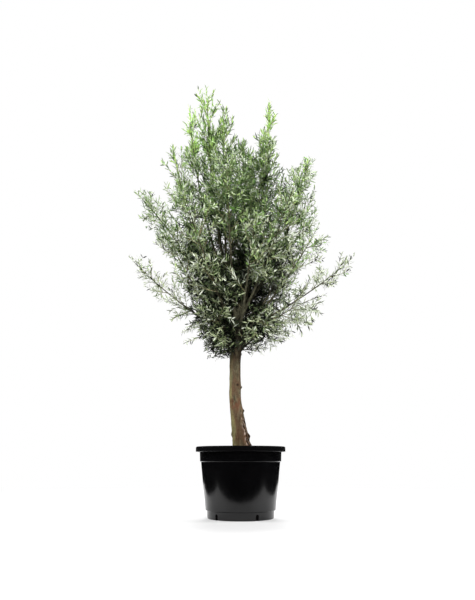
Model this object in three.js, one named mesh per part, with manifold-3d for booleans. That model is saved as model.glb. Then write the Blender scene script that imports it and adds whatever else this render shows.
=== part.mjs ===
// Potted olive tree: a young standard olive with an open, upswept crown, planted in a round black nursery pot.
// Millimetres, +Z up, +X to the viewer's right, +Y away from the viewer. The origin is the centre of the pot's foot.
import * as THREE from "three";
import { mergeVertices } from "three/addons/utils/BufferGeometryUtils.js";
import Module from "manifold-3d";

const wasm = await Module();
wasm.setup();

// Pot: a moulded shell with a thick lip, a wider band below it, a tapering wall and a narrower foot with drain slots.
const POT = {
  height: 395,
  lipRadius: 250,
  lipHeight: 29,
  lipRound: 6,
  lipEase: 3,
  bandTopRadius: 229,
  bandFootRadius: 226,
  bandFootHeight: 313,
  wallTopRadius: 220.5,
  wallFootRadius: 195.5,
  footTopRadius: 187,
  footTopHeight: 44,
  baseRadius: 184,
  baseRound: 9,
  shell: 3.5,
  stepHeight: 4,
  sides: 36,
};
const DRAIN = { count: 5, firstHeading: -62, width: 17, height: 34, depth: 24 };
const SOIL_TOP = 350;

// Gaps: between solids that touch on the real plant, and between foliage and everything that isn't its own.
const SEAT_GAP = 0.3;
const LEAF_GAP = 4;

// Trunk: its centre line leans to the right at the foot, where it flares into the soil with a few root lobes.
const TRUNK = {
  foot: SOIL_TOP + SEAT_GAP,
  fork: 1060,
  footX: 15,
  midX: -31,
  forkX: -20,
  sway: 10,
  settle: 330,
  settleEase: 1.3,
  straightTo: 0.7,
  footRadius: 60,
  lowRadius: 31,
  waistRadius: 30.5,
  forkRadius: 31,
  thinsFrom: 0.42,
  thinsTo: 0.6,
  swellsFrom: 0.85,
  flareHeight: 140,
  lobes: 5,
  lobeDepth: 0.13,
  lobeTurn: 0.6,
  sides: 16,
  rings: 12,
};

// How each tier of limbs grows: out and rise place the bend between root and tip, lift arches it upwards, and bare
// is the share of the limb that carries no leaves. turn bends its twigs up or down, lean opens its leaves away from
// them, and twigs and pairs are the spacings along stem and twigs.
const TIERS = {
  leader: { out: 0.8, rise: 0.42, lift: 0, bare: 0.32, turn: 0.2, lean: 0.55, twigs: 130, pairs: 78 },
  shoulder: { out: 0.7, rise: 0.36, lift: 0, bare: 0.32, turn: 0.1, lean: 0.65, twigs: 150, pairs: 90 },
  side: { out: 0.6, rise: 0.4, lift: 20, bare: 0.3, turn: 0, lean: 0.72, twigs: 125, pairs: 86 },
  arch: { out: 0.42, rise: 0.62, lift: 0, bare: 0.3, turn: 0, lean: 0.72, twigs: 125, pairs: 82 },
  skirt: { out: 0.5, rise: 0.5, lift: 90, bare: 0.22, turn: -0.3, lean: 0.72, twigs: 66, pairs: 62 },
};

// One row for each limb: its name and tier, the limb it leaves and at what share of that one, its heading in
// degrees round the pot's axis (0 to the viewer's right, 90 straight away), how far out and how high its last leaf
// comes, half the width of its foliage, and its radius where it leaves.
const LIMBS = [
  ["leader_left", "leader", "trunk", 0.985, 176, 207, 2578, 150, 19],
  ["leader_right", "leader", "trunk", 0.97, 8, 180, 2494, 80, 17],
  ["shoulder_front", "shoulder", "trunk", 0.94, -104, 320, 2040, 190, 15],
  ["shoulder_back", "shoulder", "trunk", 0.91, 76, 320, 2120, 190, 15],
  ["side_right", "side", "trunk", 0.93, -12, 460, 1660, 150, 14],
  ["side_left", "side", "trunk", 0.89, 194, 455, 1640, 150, 14],
  ["side_front", "side", "trunk", 0.86, -82, 540, 1560, 190, 13],
  ["side_back", "side", "trunk", 0.87, 98, 560, 1620, 190, 13],
  ["leader_outer", "leader", "leader_left", 0.2, 168, 318, 2470, 95, 11],
  ["leader_inner", "leader", "leader_left", 0.2, -150, 120, 2391, 110, 11],
  ["leader_middle", "leader", "leader_right", 0.18, 80, 100, 2270, 150, 12],
  ["leader_front", "leader", "shoulder_front", 0.1, -44, 190, 2200, 150, 12],
  ["shoulder_right", "shoulder", "leader_right", 0.12, 6, 408, 2132, 150, 12],
  ["shoulder_left", "shoulder", "leader_left", 0.12, 178, 405, 2190, 120, 12],
  ["side_left_upper", "arch", "side_left", 0.12, 173, 655, 1940, 110, 10],
  ["side_right_upper", "side", "side_right", 0.14, 14, 470, 1976, 100, 9],
  ["side_right_low", "side", "side_right", 0.09, -4, 660, 1488, 110, 9],
  ["side_left_low", "side", "side_left", 0.08, 184, 645, 1485, 95, 9],
  ["side_front_left", "side", "side_front", 0.08, -128, 520, 1800, 170, 11],
  ["side_front_right", "side", "shoulder_front", 0.07, -55, 510, 1800, 170, 11],
  ["side_back_left", "side", "side_back", 0.08, 132, 545, 1850, 170, 11],
  ["side_back_right", "side", "shoulder_back", 0.07, 50, 540, 1800, 170, 11],
  ["skirt_right", "skirt", "trunk", 0.83, -4, 490, 1260, 170, 10],
  ["skirt_left", "skirt", "trunk", 0.84, 178, 430, 1235, 165, 10],
  ["skirt_front_right", "skirt", "trunk", 0.8, -64, 350, 1105, 175, 9],
  ["skirt_front_left", "skirt", "trunk", 0.81, -122, 345, 1120, 170, 9],
  ["skirt_back_right", "skirt", "trunk", 0.785, 52, 380, 1115, 175, 9],
  ["skirt_back_left", "skirt", "trunk", 0.79, 120, 370, 1115, 170, 9],
].map(([name, tier, from, at, heading, reach, top, spread, root]) => {
  return { name, tier, from, at, heading, reach, top, spread, root };
});
const BOUGH = { tipShare: 0.55, sides: 5, rings: 5 };

// Foliage: the plume is the room round a stem. Twigs stand on the stem by the golden angle and lean away from it,
// more at its foot than at its tip. Leaves stand on twigs and stem in opposite pairs, with one more at each end.
const PLUME = { footWidth: 0.7, opensBy: 0.3, tipWidth: 0.2, taper: 3 };
const STEM = { sides: 3, rings: 5, firstTwig: 0.04, twigRange: 0.9, firstPair: 0.7 };
const TWIG = {
  leanFoot: 0.95,
  leanTip: 0.5,
  leanSpread: 0.15,
  turnSpread: 0.5,
  longest: 260,
  shortest: 45,
  radius: 3.4,
  marchStep: 10,
  freeSteps: 3,
  leafRoom: 0.7,
  firstPair: 0.5,
  pairMargin: 0.3,
};
const LEAF = {
  length: 170,
  width: 50,
  thick: 6,
  sink: 1.6,
  overlap: 20,
  widestAt: 0.45,
  smallestFull: 0.85,
  shortest: 0.45,
  shrinkStep: 0.12,
  apart: 29,
};

// Steps along the lines from which nearness is measured.
const AXIS_STEPS = 12;
const BOUGH_STEPS = 8;
const CLEAR_STEPS = 6;
const MERGE_DISTANCE = 1e-3;

const GOLDEN_ANGLE = 2.39996;
const FIRST_SEED = 11;
const SEED_STEP = 17;

// Colours and finishes.
const LOOKS = {
  pot: { color: 0x17181b, roughness: 0.35, metalness: 0 },
  soil: { color: 0x3b2d22, roughness: 0.95, metalness: 0 },
  bark: { color: 0x7a6c56, roughness: 0.9, metalness: 0 },
  leaves: { color: 0x6f8159, roughness: 0.6, metalness: 0 },
};

const UP = new THREE.Vector3(0, 0, 1);
const RIGHT = new THREE.Vector3(1, 0, 0);

// A seeded run of numbers from 0 to 1.
function seeded(seed) {
  let state = seed >>> 0;
  return () => {
    state = (Math.imul(state, 1664525) + 1013904223) >>> 0;
    return state / 4294967296;
  };
}

// Solids: a closed geometry with its shared vertices merged, and the way back.
function solidFrom(positions, triangles) {
  return new wasm.Manifold(new wasm.Mesh({ numProp: 3, vertProperties: positions, triVerts: triangles }));
}

function solidOf(geometry) {
  const bare = new THREE.BufferGeometry().setAttribute("position", geometry.getAttribute("position"));
  bare.setIndex(geometry.index);
  const merged = mergeVertices(bare, MERGE_DISTANCE);
  const kept = [];
  const index = merged.index.array;
  for (let i = 0; i < index.length; i += 3) {
    const [a, b, c] = [index[i], index[i + 1], index[i + 2]];
    if (a !== b && b !== c && a !== c) kept.push(a, b, c);
  }
  return solidFrom(merged.attributes.position.array, new Uint32Array(kept));
}

function geometryOf(solid) {
  const mesh = solid.getMesh();
  const positions = new Float32Array(mesh.numVert * 3);
  for (let i = 0; i < mesh.numVert; i++) {
    positions.set(mesh.vertProperties.subarray(i * mesh.numProp, i * mesh.numProp + 3), i * 3);
  }
  const indexed = new THREE.BufferGeometry().setAttribute("position", new THREE.BufferAttribute(positions, 3));
  indexed.setIndex(new THREE.BufferAttribute(mesh.triVerts, 1));
  const geometry = indexed.toNonIndexed();
  geometry.computeVertexNormals();
  return geometry;
}

// The largest body of a solid: what a cut leaves loose beside it is dropped.
function largestBody(solid) {
  const bodies = solid.decompose();
  return bodies.reduce((best, body) => (body.volume() > best.volume() ? body : best));
}

function mesh(name, solid, look) {
  const made = new THREE.Mesh(geometryOf(solid), new THREE.MeshStandardMaterial(look));
  made.name = name;
  return made;
}

// Two directions square to a tangent, always chosen the same way.
function frameAcross(tangent) {
  const reference = Math.abs(tangent.z) < 0.9 ? UP : RIGHT;
  const side = new THREE.Vector3().crossVectors(tangent, reference).normalize();
  const up = new THREE.Vector3().crossVectors(side, tangent);
  return { side, up };
}

// A tapering limb along points. radiusAt(ring, angle) may shape the section, and ways may set a ring's direction.
function limbSolid(points, sides, radiusAt, { pointed = false, ways = [] } = {}) {
  const rings = pointed ? points.length - 1 : points.length;
  const positions = [];
  const triangles = [];
  const wayAt = (i) => {
    if (ways[i]) return ways[i];
    const ahead = points[Math.min(i + 1, points.length - 1)];
    return ahead.clone().sub(points[Math.max(i - 1, 0)]).normalize();
  };
  const { side } = frameAcross(wayAt(0));
  for (let i = 0; i < rings; i++) {
    const tangent = wayAt(i);
    side.addScaledVector(tangent, -side.dot(tangent)).normalize();
    const up = new THREE.Vector3().crossVectors(tangent, side);
    for (let k = 0; k < sides; k++) {
      const angle = (k / sides) * 2 * Math.PI;
      const radius = radiusAt(i, angle);
      const p = points[i].clone();
      p.addScaledVector(side, radius * Math.cos(angle)).addScaledVector(up, radius * Math.sin(angle));
      positions.push(p.x, p.y, p.z);
    }
  }
  for (let i = 0; i + 1 < rings; i++) {
    for (let k = 0; k < sides; k++) {
      const a = i * sides + k;
      const b = i * sides + ((k + 1) % sides);
      triangles.push(a, b, b + sides, a, b + sides, a + sides);
    }
  }
  for (let k = 1; k + 1 < sides; k++) triangles.push(0, k + 1, k);
  const last = (rings - 1) * sides;
  if (pointed) {
    const apex = positions.length / 3;
    const end = points[points.length - 1];
    positions.push(end.x, end.y, end.z);
    for (let k = 0; k < sides; k++) triangles.push(last + k, last + ((k + 1) % sides), apex);
  } else {
    for (let k = 1; k + 1 < sides; k++) triangles.push(last, last + k, last + k + 1);
  }
  return solidFrom(new Float32Array(positions), new Uint32Array(triangles));
}

// Pot and soil, both turned about the Z axis.
function turned(profile) {
  const points = profile.map(([radius, height]) => new THREE.Vector2(radius, height));
  return solidOf(new THREE.LatheGeometry(points, POT.sides).rotateX(Math.PI / 2));
}

function potSolid() {
  const lipFoot = POT.height - POT.lipHeight;
  const inside = (radius) => radius - POT.shell;
  const shell = turned([
    [0, 0],
    [POT.baseRadius - POT.baseRound, 0],
    [POT.baseRadius, POT.baseRound],
    [POT.footTopRadius, POT.footTopHeight],
    [POT.wallFootRadius, POT.footTopHeight + POT.stepHeight],
    [POT.wallTopRadius, POT.bandFootHeight - POT.stepHeight],
    [POT.bandFootRadius, POT.bandFootHeight],
    [POT.bandTopRadius, lipFoot],
    [POT.lipRadius - POT.lipEase, lipFoot],
    [POT.lipRadius, lipFoot + POT.lipEase],
    [POT.lipRadius, POT.height - POT.lipRound],
    [POT.lipRadius - POT.lipRound, POT.height],
    [inside(POT.bandTopRadius) + POT.lipEase, POT.height],
    [inside(POT.bandFootRadius), POT.bandFootHeight + POT.shell],
    [inside(POT.wallTopRadius), POT.bandFootHeight - POT.stepHeight],
    [inside(POT.wallFootRadius), POT.footTopHeight + POT.stepHeight + POT.shell],
    [inside(POT.footTopRadius), POT.footTopHeight + POT.shell],
    [inside(POT.baseRadius), POT.baseRound + POT.shell],
    [inside(POT.baseRadius) - POT.baseRound, POT.shell],
    [0, POT.shell],
  ]);
  let cut = shell;
  for (let i = 0; i < DRAIN.count; i++) {
    const heading = THREE.MathUtils.degToRad(DRAIN.firstHeading + (i * 360) / DRAIN.count);
    const slot = new THREE.BoxGeometry(DRAIN.depth, DRAIN.width, 2 * DRAIN.height);
    slot.translate(POT.baseRadius, 0, 0).rotateZ(heading);
    cut = cut.subtract(solidOf(slot));
  }
  return cut;
}

function soilSolid() {
  const fill = (radius) => radius - POT.shell - SEAT_GAP;
  const foot = POT.shell + SEAT_GAP;
  return turned([
    [0, foot],
    [fill(POT.baseRadius) - POT.baseRound - SEAT_GAP, foot],
    [fill(POT.baseRadius) - SEAT_GAP, POT.baseRound + POT.shell],
    [fill(POT.footTopRadius) - SEAT_GAP, POT.footTopHeight + POT.shell],
    [fill(POT.wallFootRadius), POT.footTopHeight + POT.stepHeight + POT.shell + SEAT_GAP],
    [fill(POT.wallTopRadius), POT.bandFootHeight - POT.stepHeight],
    [fill(POT.bandFootRadius), POT.bandFootHeight + POT.shell + SEAT_GAP],
    [fill(POT.bandFootRadius), SOIL_TOP],
    [0, SOIL_TOP],
  ]);
}

// Trunk: its centre line and radius at a share of its height, and the lobes of the root flare.
function trunkPoint(share) {
  const rise = (TRUNK.fork - TRUNK.foot) * share;
  const atFoot = Math.max(0, 1 - rise / TRUNK.settle) ** TRUNK.settleEase;
  const atFork = THREE.MathUtils.smoothstep(share, TRUNK.straightTo, 1);
  const x = TRUNK.midX + (TRUNK.footX - TRUNK.midX) * atFoot + (TRUNK.forkX - TRUNK.midX) * atFork;
  return new THREE.Vector3(x, TRUNK.sway * Math.sin(Math.PI * share), TRUNK.foot + rise);
}

function flareAt(share) {
  return Math.exp((-share * (TRUNK.fork - TRUNK.foot)) / TRUNK.flareHeight);
}

function trunkRadius(share) {
  const low = 1 - THREE.MathUtils.smoothstep(share, TRUNK.thinsFrom, TRUNK.thinsTo);
  const atFork = THREE.MathUtils.smoothstep(share, TRUNK.swellsFrom, 1);
  const stem = TRUNK.waistRadius + (TRUNK.lowRadius - TRUNK.waistRadius) * low;
  const flare = (TRUNK.footRadius - TRUNK.lowRadius) * flareAt(share);
  return stem + flare + (TRUNK.forkRadius - TRUNK.waistRadius) * atFork;
}

function trunkSolid(grow = 0) {
  const shares = Array.from({ length: TRUNK.rings }, (_, i) => i / (TRUNK.rings - 1));
  const points = shares.map(trunkPoint);
  points[TRUNK.rings - 1].z += grow;
  const radiusAt = (ring, angle) => {
    const lobe = TRUNK.lobeDepth * flareAt(shares[ring]) * Math.cos(TRUNK.lobes * angle + TRUNK.lobeTurn);
    return trunkRadius(shares[ring]) * (1 + lobe) + grow;
  };
  return limbSolid(points, TRUNK.sides, radiusAt, { ways: points.map(() => UP) });
}

// A limb of the crown: one curve from its parent to its last leaf. The bough is its bare share, foliage the rest.
const limbs = new Map();

function limbPoint(limb, share) {
  return new THREE.Vector3()
    .addScaledVector(limb.start, (1 - share) ** 2)
    .addScaledVector(limb.bend, 2 * share * (1 - share))
    .addScaledVector(limb.tip, share ** 2);
}

function limbWay(limb, share) {
  const toBend = limb.bend.clone().sub(limb.start);
  const toTip = limb.tip.clone().sub(limb.bend);
  return toBend.lerp(toTip, share).normalize();
}

function limbRadius(limb, share) {
  return limb.root * (1 - (1 - BOUGH.tipShare) * Math.min(share / limb.bare, 1));
}

function limbLine(limb, from, to, steps) {
  return Array.from({ length: steps + 1 }, (_, i) => limbPoint(limb, THREE.MathUtils.lerp(from, to, i / steps)));
}

for (const row of LIMBS) {
  const tier = TIERS[row.tier];
  const heading = THREE.MathUtils.degToRad(row.heading);
  const start = row.from === "trunk" ? trunkPoint(row.at) : limbPoint(limbs.get(row.from), row.at);
  const tip = new THREE.Vector3(row.reach * Math.cos(heading), row.reach * Math.sin(heading), row.top);
  const bend = start.clone().lerp(tip, tier.out);
  bend.z = THREE.MathUtils.lerp(start.z, tip.z, tier.rise) + tier.lift;
  const limb = { ...tier, ...row, start, bend, tip };
  limb.axis = limbLine(limb, limb.bare, 1, AXIS_STEPS);
  limb.boughLine = limbLine(limb, 0, limb.bare, BOUGH_STEPS);
  limbs.set(row.name, limb);
}

function boughSolid(limb, grow = 0) {
  const shares = Array.from({ length: BOUGH.rings }, (_, i) => (limb.bare * i) / (BOUGH.rings - 1));
  const points = shares.map((share) => limbPoint(limb, share));
  const ways = shares.map((share) => limbWay(limb, share));
  return limbSolid(points, BOUGH.sides, (ring) => limbRadius(limb, shares[ring]) + grow, { ways });
}

// The nearest place on a line of points: how far off it is, and at what share of the line.
function nearestOnLine(point, line) {
  const nearest = { distance: Infinity, share: 0 };
  const segment = new THREE.Line3();
  const near = new THREE.Vector3();
  for (let i = 0; i + 1 < line.length; i++) {
    segment.set(line[i], line[i + 1]);
    const t = segment.closestPointToPointParameter(point, true);
    const distance = segment.at(t, near).distanceTo(point);
    if (distance < nearest.distance) {
      nearest.distance = distance;
      nearest.share = (i + t) / (line.length - 1);
    }
  }
  return nearest;
}

function lengthOf(line) {
  let sum = 0;
  for (let i = 0; i + 1 < line.length; i++) sum += line[i].distanceTo(line[i + 1]);
  return sum;
}

// Half the width of a plume at a share of its stem.
function plumeWidth(limb, share) {
  const foot = THREE.MathUtils.smoothstep(share, 0, PLUME.opensBy);
  const opening = THREE.MathUtils.lerp(PLUME.footWidth, 1, foot);
  return limb.spread * (opening * Math.sqrt(1 - share ** PLUME.taper) + PLUME.tipWidth);
}

// A place is in a limb's space if it lies in the limb's plume and nearer to its stem than to any other stem.
function inSpace(point, limb) {
  const own = nearestOnLine(point, limb.axis);
  if (own.distance > plumeWidth(limb, own.share)) return false;
  for (const other of limbs.values()) {
    if (other !== limb && nearestOnLine(point, other.axis).distance < own.distance + 2 * LEAF_GAP) return false;
  }
  return true;
}

// Whether a straight stretch stays clear of the trunk and every bough.
function clearOfLimbs(from, to, halfWidth) {
  const p = new THREE.Vector3();
  for (let i = 0; i <= CLEAR_STEPS; i++) {
    p.lerpVectors(from, to, i / CLEAR_STEPS);
    const share = THREE.MathUtils.clamp((p.z - TRUNK.foot) / (TRUNK.fork - TRUNK.foot), 0, 1);
    const trunkReach = trunkRadius(share) * (1 + TRUNK.lobeDepth);
    if (p.distanceTo(trunkPoint(share)) < trunkReach + halfWidth + LEAF_GAP) return false;
    for (const limb of limbs.values()) {
      const near = nearestOnLine(p, limb.boughLine);
      if (near.distance < limbRadius(limb, near.share * limb.bare) + halfWidth + LEAF_GAP) return false;
    }
  }
  return true;
}

// One leaf: six faces, ridged in front, with its root sunk in what carries it.
function leafShape(root, direction, roll, size) {
  const { side, up } = frameAcross(direction);
  const across = side.clone().multiplyScalar(Math.cos(roll)).addScaledVector(up, Math.sin(roll));
  const front = new THREE.Vector3().crossVectors(direction, across);
  const heart = root.clone().addScaledVector(direction, LEAF.length * size * LEAF.widestAt);
  const edge = (hand) =>
    heart.clone().addScaledVector(across, (hand * LEAF.width * size) / 2).addScaledVector(front, -LEAF.thick / 3);
  return {
    root,
    tip: root.clone().addScaledVector(direction, LEAF.length * size),
    base: root.clone().addScaledVector(direction, -LEAF.sink),
    heart,
    ring: [edge(1), heart.clone().addScaledVector(front, (2 * LEAF.thick) / 3), edge(-1)],
  };
}

function leafSolid(leaf) {
  const positions = [leaf.base, leaf.tip, ...leaf.ring].flatMap((p) => [p.x, p.y, p.z]);
  const triangles = [];
  for (let i = 0; i < 3; i++) {
    const a = 2 + i;
    const b = 2 + ((i + 1) % 3);
    triangles.push(1, a, b, 0, b, a);
  }
  return solidFrom(new Float32Array(positions), new Uint32Array(triangles));
}

function leafFits(limb, leaf, size) {
  if (![leaf.tip, ...leaf.ring].every((p) => inSpace(p, limb))) return false;
  if (!clearOfLimbs(leaf.root, leaf.tip, (LEAF.width * size) / 2)) return false;
  const crowds = (line) => [leaf.heart, leaf.tip].some((p) => nearestOnLine(p, line).distance < LEAF.apart);
  return !limb.taken.some(crowds);
}

// How long a twig may grow before it leaves its space or meets a limb.
function roomFor(limb, start, direction) {
  let last = start;
  for (let run = TWIG.marchStep; run <= TWIG.longest; run += TWIG.marchStep) {
    const next = start.clone().addScaledVector(direction, run);
    const meets = run > TWIG.freeSteps * TWIG.marchStep && !clearOfLimbs(last, next, TWIG.radius);
    if (meets || !inSpace(next, limb)) return run - TWIG.marchStep;
    last = next;
  }
  return TWIG.longest;
}

// The foliage of one limb: its stem, the twigs round it and the leaves on them, all one solid.
function foliageSolid(limb, random) {
  const stemEnd = 1 - (TWIG.leafRoom * LEAF.length) / lengthOf(limb.axis);
  const stemShare = (share) => THREE.MathUtils.lerp(limb.bare, 1, share * stemEnd);
  const stem = limbLine(limb, limb.bare, stemShare(1), STEM.rings - 1);
  const stemLength = lengthOf(stem);
  const firstWay = limbWay(limb, limb.bare);
  stem[0].addScaledVector(firstWay, SEAT_GAP);
  const stemRadius = (ring) => THREE.MathUtils.lerp(limbRadius(limb, 1), TWIG.radius, ring / (STEM.rings - 1));
  let whole = limbSolid(stem, STEM.sides, stemRadius, { ways: [firstWay] });
  limb.taken = [stem];

  const growTwig = (share, azimuth) => {
    const start = limbPoint(limb, stemShare(share));
    const way = limbWay(limb, stemShare(share));
    const { side, up } = frameAcross(way);
    const lean = THREE.MathUtils.lerp(TWIG.leanFoot, TWIG.leanTip, share) + TWIG.leanSpread * (random() - 0.5);
    const direction = way.clone().multiplyScalar(Math.cos(lean));
    direction.addScaledVector(side, Math.sin(lean) * Math.cos(azimuth));
    direction.addScaledVector(up, Math.sin(lean) * Math.sin(azimuth));
    direction.addScaledVector(UP, limb.turn).normalize();
    const room = roomFor(limb, start, direction);
    if (room < TWIG.shortest) return null;
    const length = Math.max(TWIG.shortest, room - TWIG.leafRoom * LEAF.length);
    const end = start.clone().addScaledVector(direction, length);
    whole = whole.add(limbSolid([start, end], STEM.sides, () => TWIG.radius, { pointed: true }));
    limb.taken.push([start, end]);
    return { start, end, direction, azimuth, length };
  };

  // A leaf at the largest size that has room.
  const growLeaf = (root, direction) => {
    const roll = random() * Math.PI;
    const full = THREE.MathUtils.lerp(LEAF.smallestFull, 1, random());
    for (let size = full; size >= LEAF.shortest; size -= LEAF.shrinkStep) {
      const leaf = leafShape(root, direction, roll, size);
      if (leafFits(limb, leaf, size)) {
        whole = whole.add(leafSolid(leaf));
        limb.taken.push([leaf.root, leaf.tip]);
        return;
      }
    }
  };

  const growPair = (root, way, spin) => {
    const { side, up } = frameAcross(way);
    const wing = side.multiplyScalar(Math.cos(spin)).addScaledVector(up, Math.sin(spin));
    for (const hand of [1, -1]) {
      const leafWay = way.clone().multiplyScalar(Math.cos(limb.lean));
      growLeaf(root, leafWay.addScaledVector(wing, hand * Math.sin(limb.lean)));
    }
  };

  const twigCount = Math.round(stemLength / limb.twigs);
  const twigs = [];
  for (let k = 0; k < twigCount; k++) {
    const share = STEM.firstTwig + (STEM.twigRange * (k + 0.5)) / twigCount;
    const firstAzimuth = THREE.MathUtils.degToRad(limb.heading);
    const twig = growTwig(share, firstAzimuth + k * GOLDEN_ANGLE + TWIG.turnSpread * random());
    if (twig) twigs.push(twig);
  }

  // The last leaf runs from the stem's end to the limb's tip.
  const stemTop = stem[STEM.rings - 1];
  const seat = stemTop.clone().addScaledVector(limbWay(limb, stemShare(1)), -LEAF.overlap);
  const lastRun = limb.tip.clone().sub(seat);
  const lastLeaf = leafShape(seat, lastRun.clone().normalize(), 0, lastRun.length() / LEAF.length);
  whole = whole.add(leafSolid(lastLeaf));
  limb.taken.push([lastLeaf.root, lastLeaf.tip]);

  for (const twig of twigs) {
    growLeaf(twig.end.clone().addScaledVector(twig.direction, -LEAF.overlap), twig.direction);
    const pairs = Math.max(1, Math.round(twig.length / limb.pairs));
    for (let pair = 0; pair < pairs; pair++) {
      const root = twig.end.clone().lerp(twig.start, (pair + TWIG.firstPair) / (pairs + TWIG.pairMargin));
      growPair(root, twig.direction, twig.azimuth + (pair * Math.PI) / 2 + TWIG.turnSpread * random());
    }
  }
  const stemPairs = Math.round(stemLength / limb.pairs);
  for (let pair = 0; pair < stemPairs; pair++) {
    const share = stemShare((pair + STEM.firstPair) / (stemPairs + STEM.firstPair));
    growPair(limbPoint(limb, share), limbWay(limb, share), pair * GOLDEN_ANGLE + random());
  }
  return largestBody(whole);
}

const tree = new THREE.Group();
tree.name = "potted_olive_tree";
tree.add(mesh("pot", potSolid(), LOOKS.pot));
tree.add(mesh("soil", soilSolid(), LOOKS.soil));
tree.add(mesh("trunk", trunkSolid(), LOOKS.bark));

// Each bough is cut clear of the trunk and of the boughs made before it.
let standing = trunkSolid(SEAT_GAP);
for (const limb of limbs.values()) {
  const bough = largestBody(boughSolid(limb).subtract(standing));
  tree.add(mesh(`bough_${limb.name}`, bough, LOOKS.bark));
  standing = standing.add(boughSolid(limb, SEAT_GAP));
}

let seed = FIRST_SEED;
for (const limb of limbs.values()) {
  tree.add(mesh(`foliage_${limb.name}`, foliageSolid(limb, seeded(seed)), LOOKS.leaves));
  seed += SEED_STEP;
}

export default tree;
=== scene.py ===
# Looks of the potted olive tree: pot, soil, bark, twigs and leaves, on a plain floor in soft light.
# Limbs grow by the source's rule, in its millimetres, and on to finer twigs. Meshes are made in metres.
import math

import bpy
import numpy as np
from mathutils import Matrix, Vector, noise


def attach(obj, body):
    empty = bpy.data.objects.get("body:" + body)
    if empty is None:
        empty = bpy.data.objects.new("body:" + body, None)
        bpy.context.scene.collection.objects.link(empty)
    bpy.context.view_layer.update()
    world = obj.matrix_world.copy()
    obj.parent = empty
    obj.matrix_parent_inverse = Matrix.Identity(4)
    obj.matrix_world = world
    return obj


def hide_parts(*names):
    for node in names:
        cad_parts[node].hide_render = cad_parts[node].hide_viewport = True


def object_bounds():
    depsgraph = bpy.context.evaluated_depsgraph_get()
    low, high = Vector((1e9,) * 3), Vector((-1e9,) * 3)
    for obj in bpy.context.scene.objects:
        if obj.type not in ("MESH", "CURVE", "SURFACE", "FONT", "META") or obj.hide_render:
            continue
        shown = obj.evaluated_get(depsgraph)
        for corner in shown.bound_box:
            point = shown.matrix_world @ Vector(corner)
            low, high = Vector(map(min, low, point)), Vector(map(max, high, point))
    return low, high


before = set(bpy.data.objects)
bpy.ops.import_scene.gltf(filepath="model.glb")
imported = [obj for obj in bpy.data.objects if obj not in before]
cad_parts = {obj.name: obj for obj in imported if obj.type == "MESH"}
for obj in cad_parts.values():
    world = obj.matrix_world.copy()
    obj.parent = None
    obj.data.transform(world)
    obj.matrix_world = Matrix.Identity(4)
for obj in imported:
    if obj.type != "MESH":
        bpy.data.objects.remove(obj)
cad_low, cad_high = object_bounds()

MM = 0.001
UP = np.array([0.0, 0.0, 1.0])
RIGHT = np.array([1.0, 0.0, 0.0])
GOLDEN_ANGLE = 2.39996
NEARLY_UPRIGHT = 0.9
FIRST_SEED = 11
SEED_STEP = 17

# Pot: the source's radii and heights, with the rolled lip and the rounded edges of the real moulding.
POT = {
    "height": 395,
    "lip_radius": 250,
    "lip_foot": 366,
    "band_top_radius": 229,
    "band_foot_radius": 226,
    "band_foot": 313,
    "wall_top_radius": 220.5,
    "wall_foot_radius": 195.5,
    "foot_top_radius": 187,
    "foot_top": 44,
    "base_radius": 184,
    "shell": 3.5,
    "step": 4,
    "band_step": 2.2,
    "lip_top": 8,
    "segments": 240,
    "corner_steps": 5,
    "flat_from": 1.5,
    "sharp_angle": 40,
}
DRAIN = {"count": 5, "first_heading": -62, "width": 17, "height": 34, "depth": 24, "corner_steps": 6}
# Soil. "under" is the outline of the fill below its top, as radius and height, and "waves" are the sizes of
# its clods and crumbs, across and up.
SOIL = {
    "top": 350,
    "radius": 222,
    "rings": 74,
    "segments": 180,
    "hump": 5,
    "hump_reach": 110,
    "under": [(0, 4), (174, 4), (180, 13), (183, 48), (191, 52), (216, 309), (222, 317), (222, 346)],
    "waves": [(22, 2.56), (60, 3.2), (6.5, 1.6)],
}

TRUNK = {
    "foot": 350.3,
    "fork": 1060,
    "foot_x": 15,
    "mid_x": -31,
    "fork_x": -20,
    "sway": 10,
    "settle": 330,
    "settle_ease": 1.3,
    "straight_to": 0.7,
    "foot_radius": 60,
    "low_radius": 31,
    "waist_radius": 30.5,
    "fork_radius": 31,
    "thins_from": 0.42,
    "thins_to": 0.6,
    "swells_from": 0.85,
    "flare_height": 140,
    "lobes": 5,
    "lobe_depth": 0.13,
    "lobe_turn": 0.6,
    "sides": 108,
    "rings": 250,
    "sunk": 6,
}
TRUNK_RISE = TRUNK["fork"] - TRUNK["foot"]

# Noise on the trunk: the size of its cells in x, y and z, and a shift that keeps the layers apart.
BARK_NOISE = {
    "fibres": ((9, 9, 70), 0),
    "furrows": ((20, 20, 95), 7.3),
    "lumps": ((30, 30, 46), 3.1),
    "flakes": ((8, 8, 22), 11.7),
    "grit": ((5, 5, 11), 4.4),
    "streak": ((14, 14, 90), 5.9),
    "blush": ((20, 20, 34), 9.2),
}
# How far each layer stands out or goes in.
RELIEF = {"lumps": 1.5, "fibres": 0.6, "foot_fibres": 0.9, "grit": 0.5, "flakes": 3, "flank": 1.5, "crack": 7}
# Upright bands on the trunk's foot: heading and half width in degrees, and heights between which they fade.
BANDS = {"flank": (-14, 34, 520, 620), "edge": (-4, 20, 560, 610), "strip": (-42, 15, 560, 610)}
BLUSH = {"height": 632, "reach": 42}
MOSSY_SIDE = 196
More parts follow.
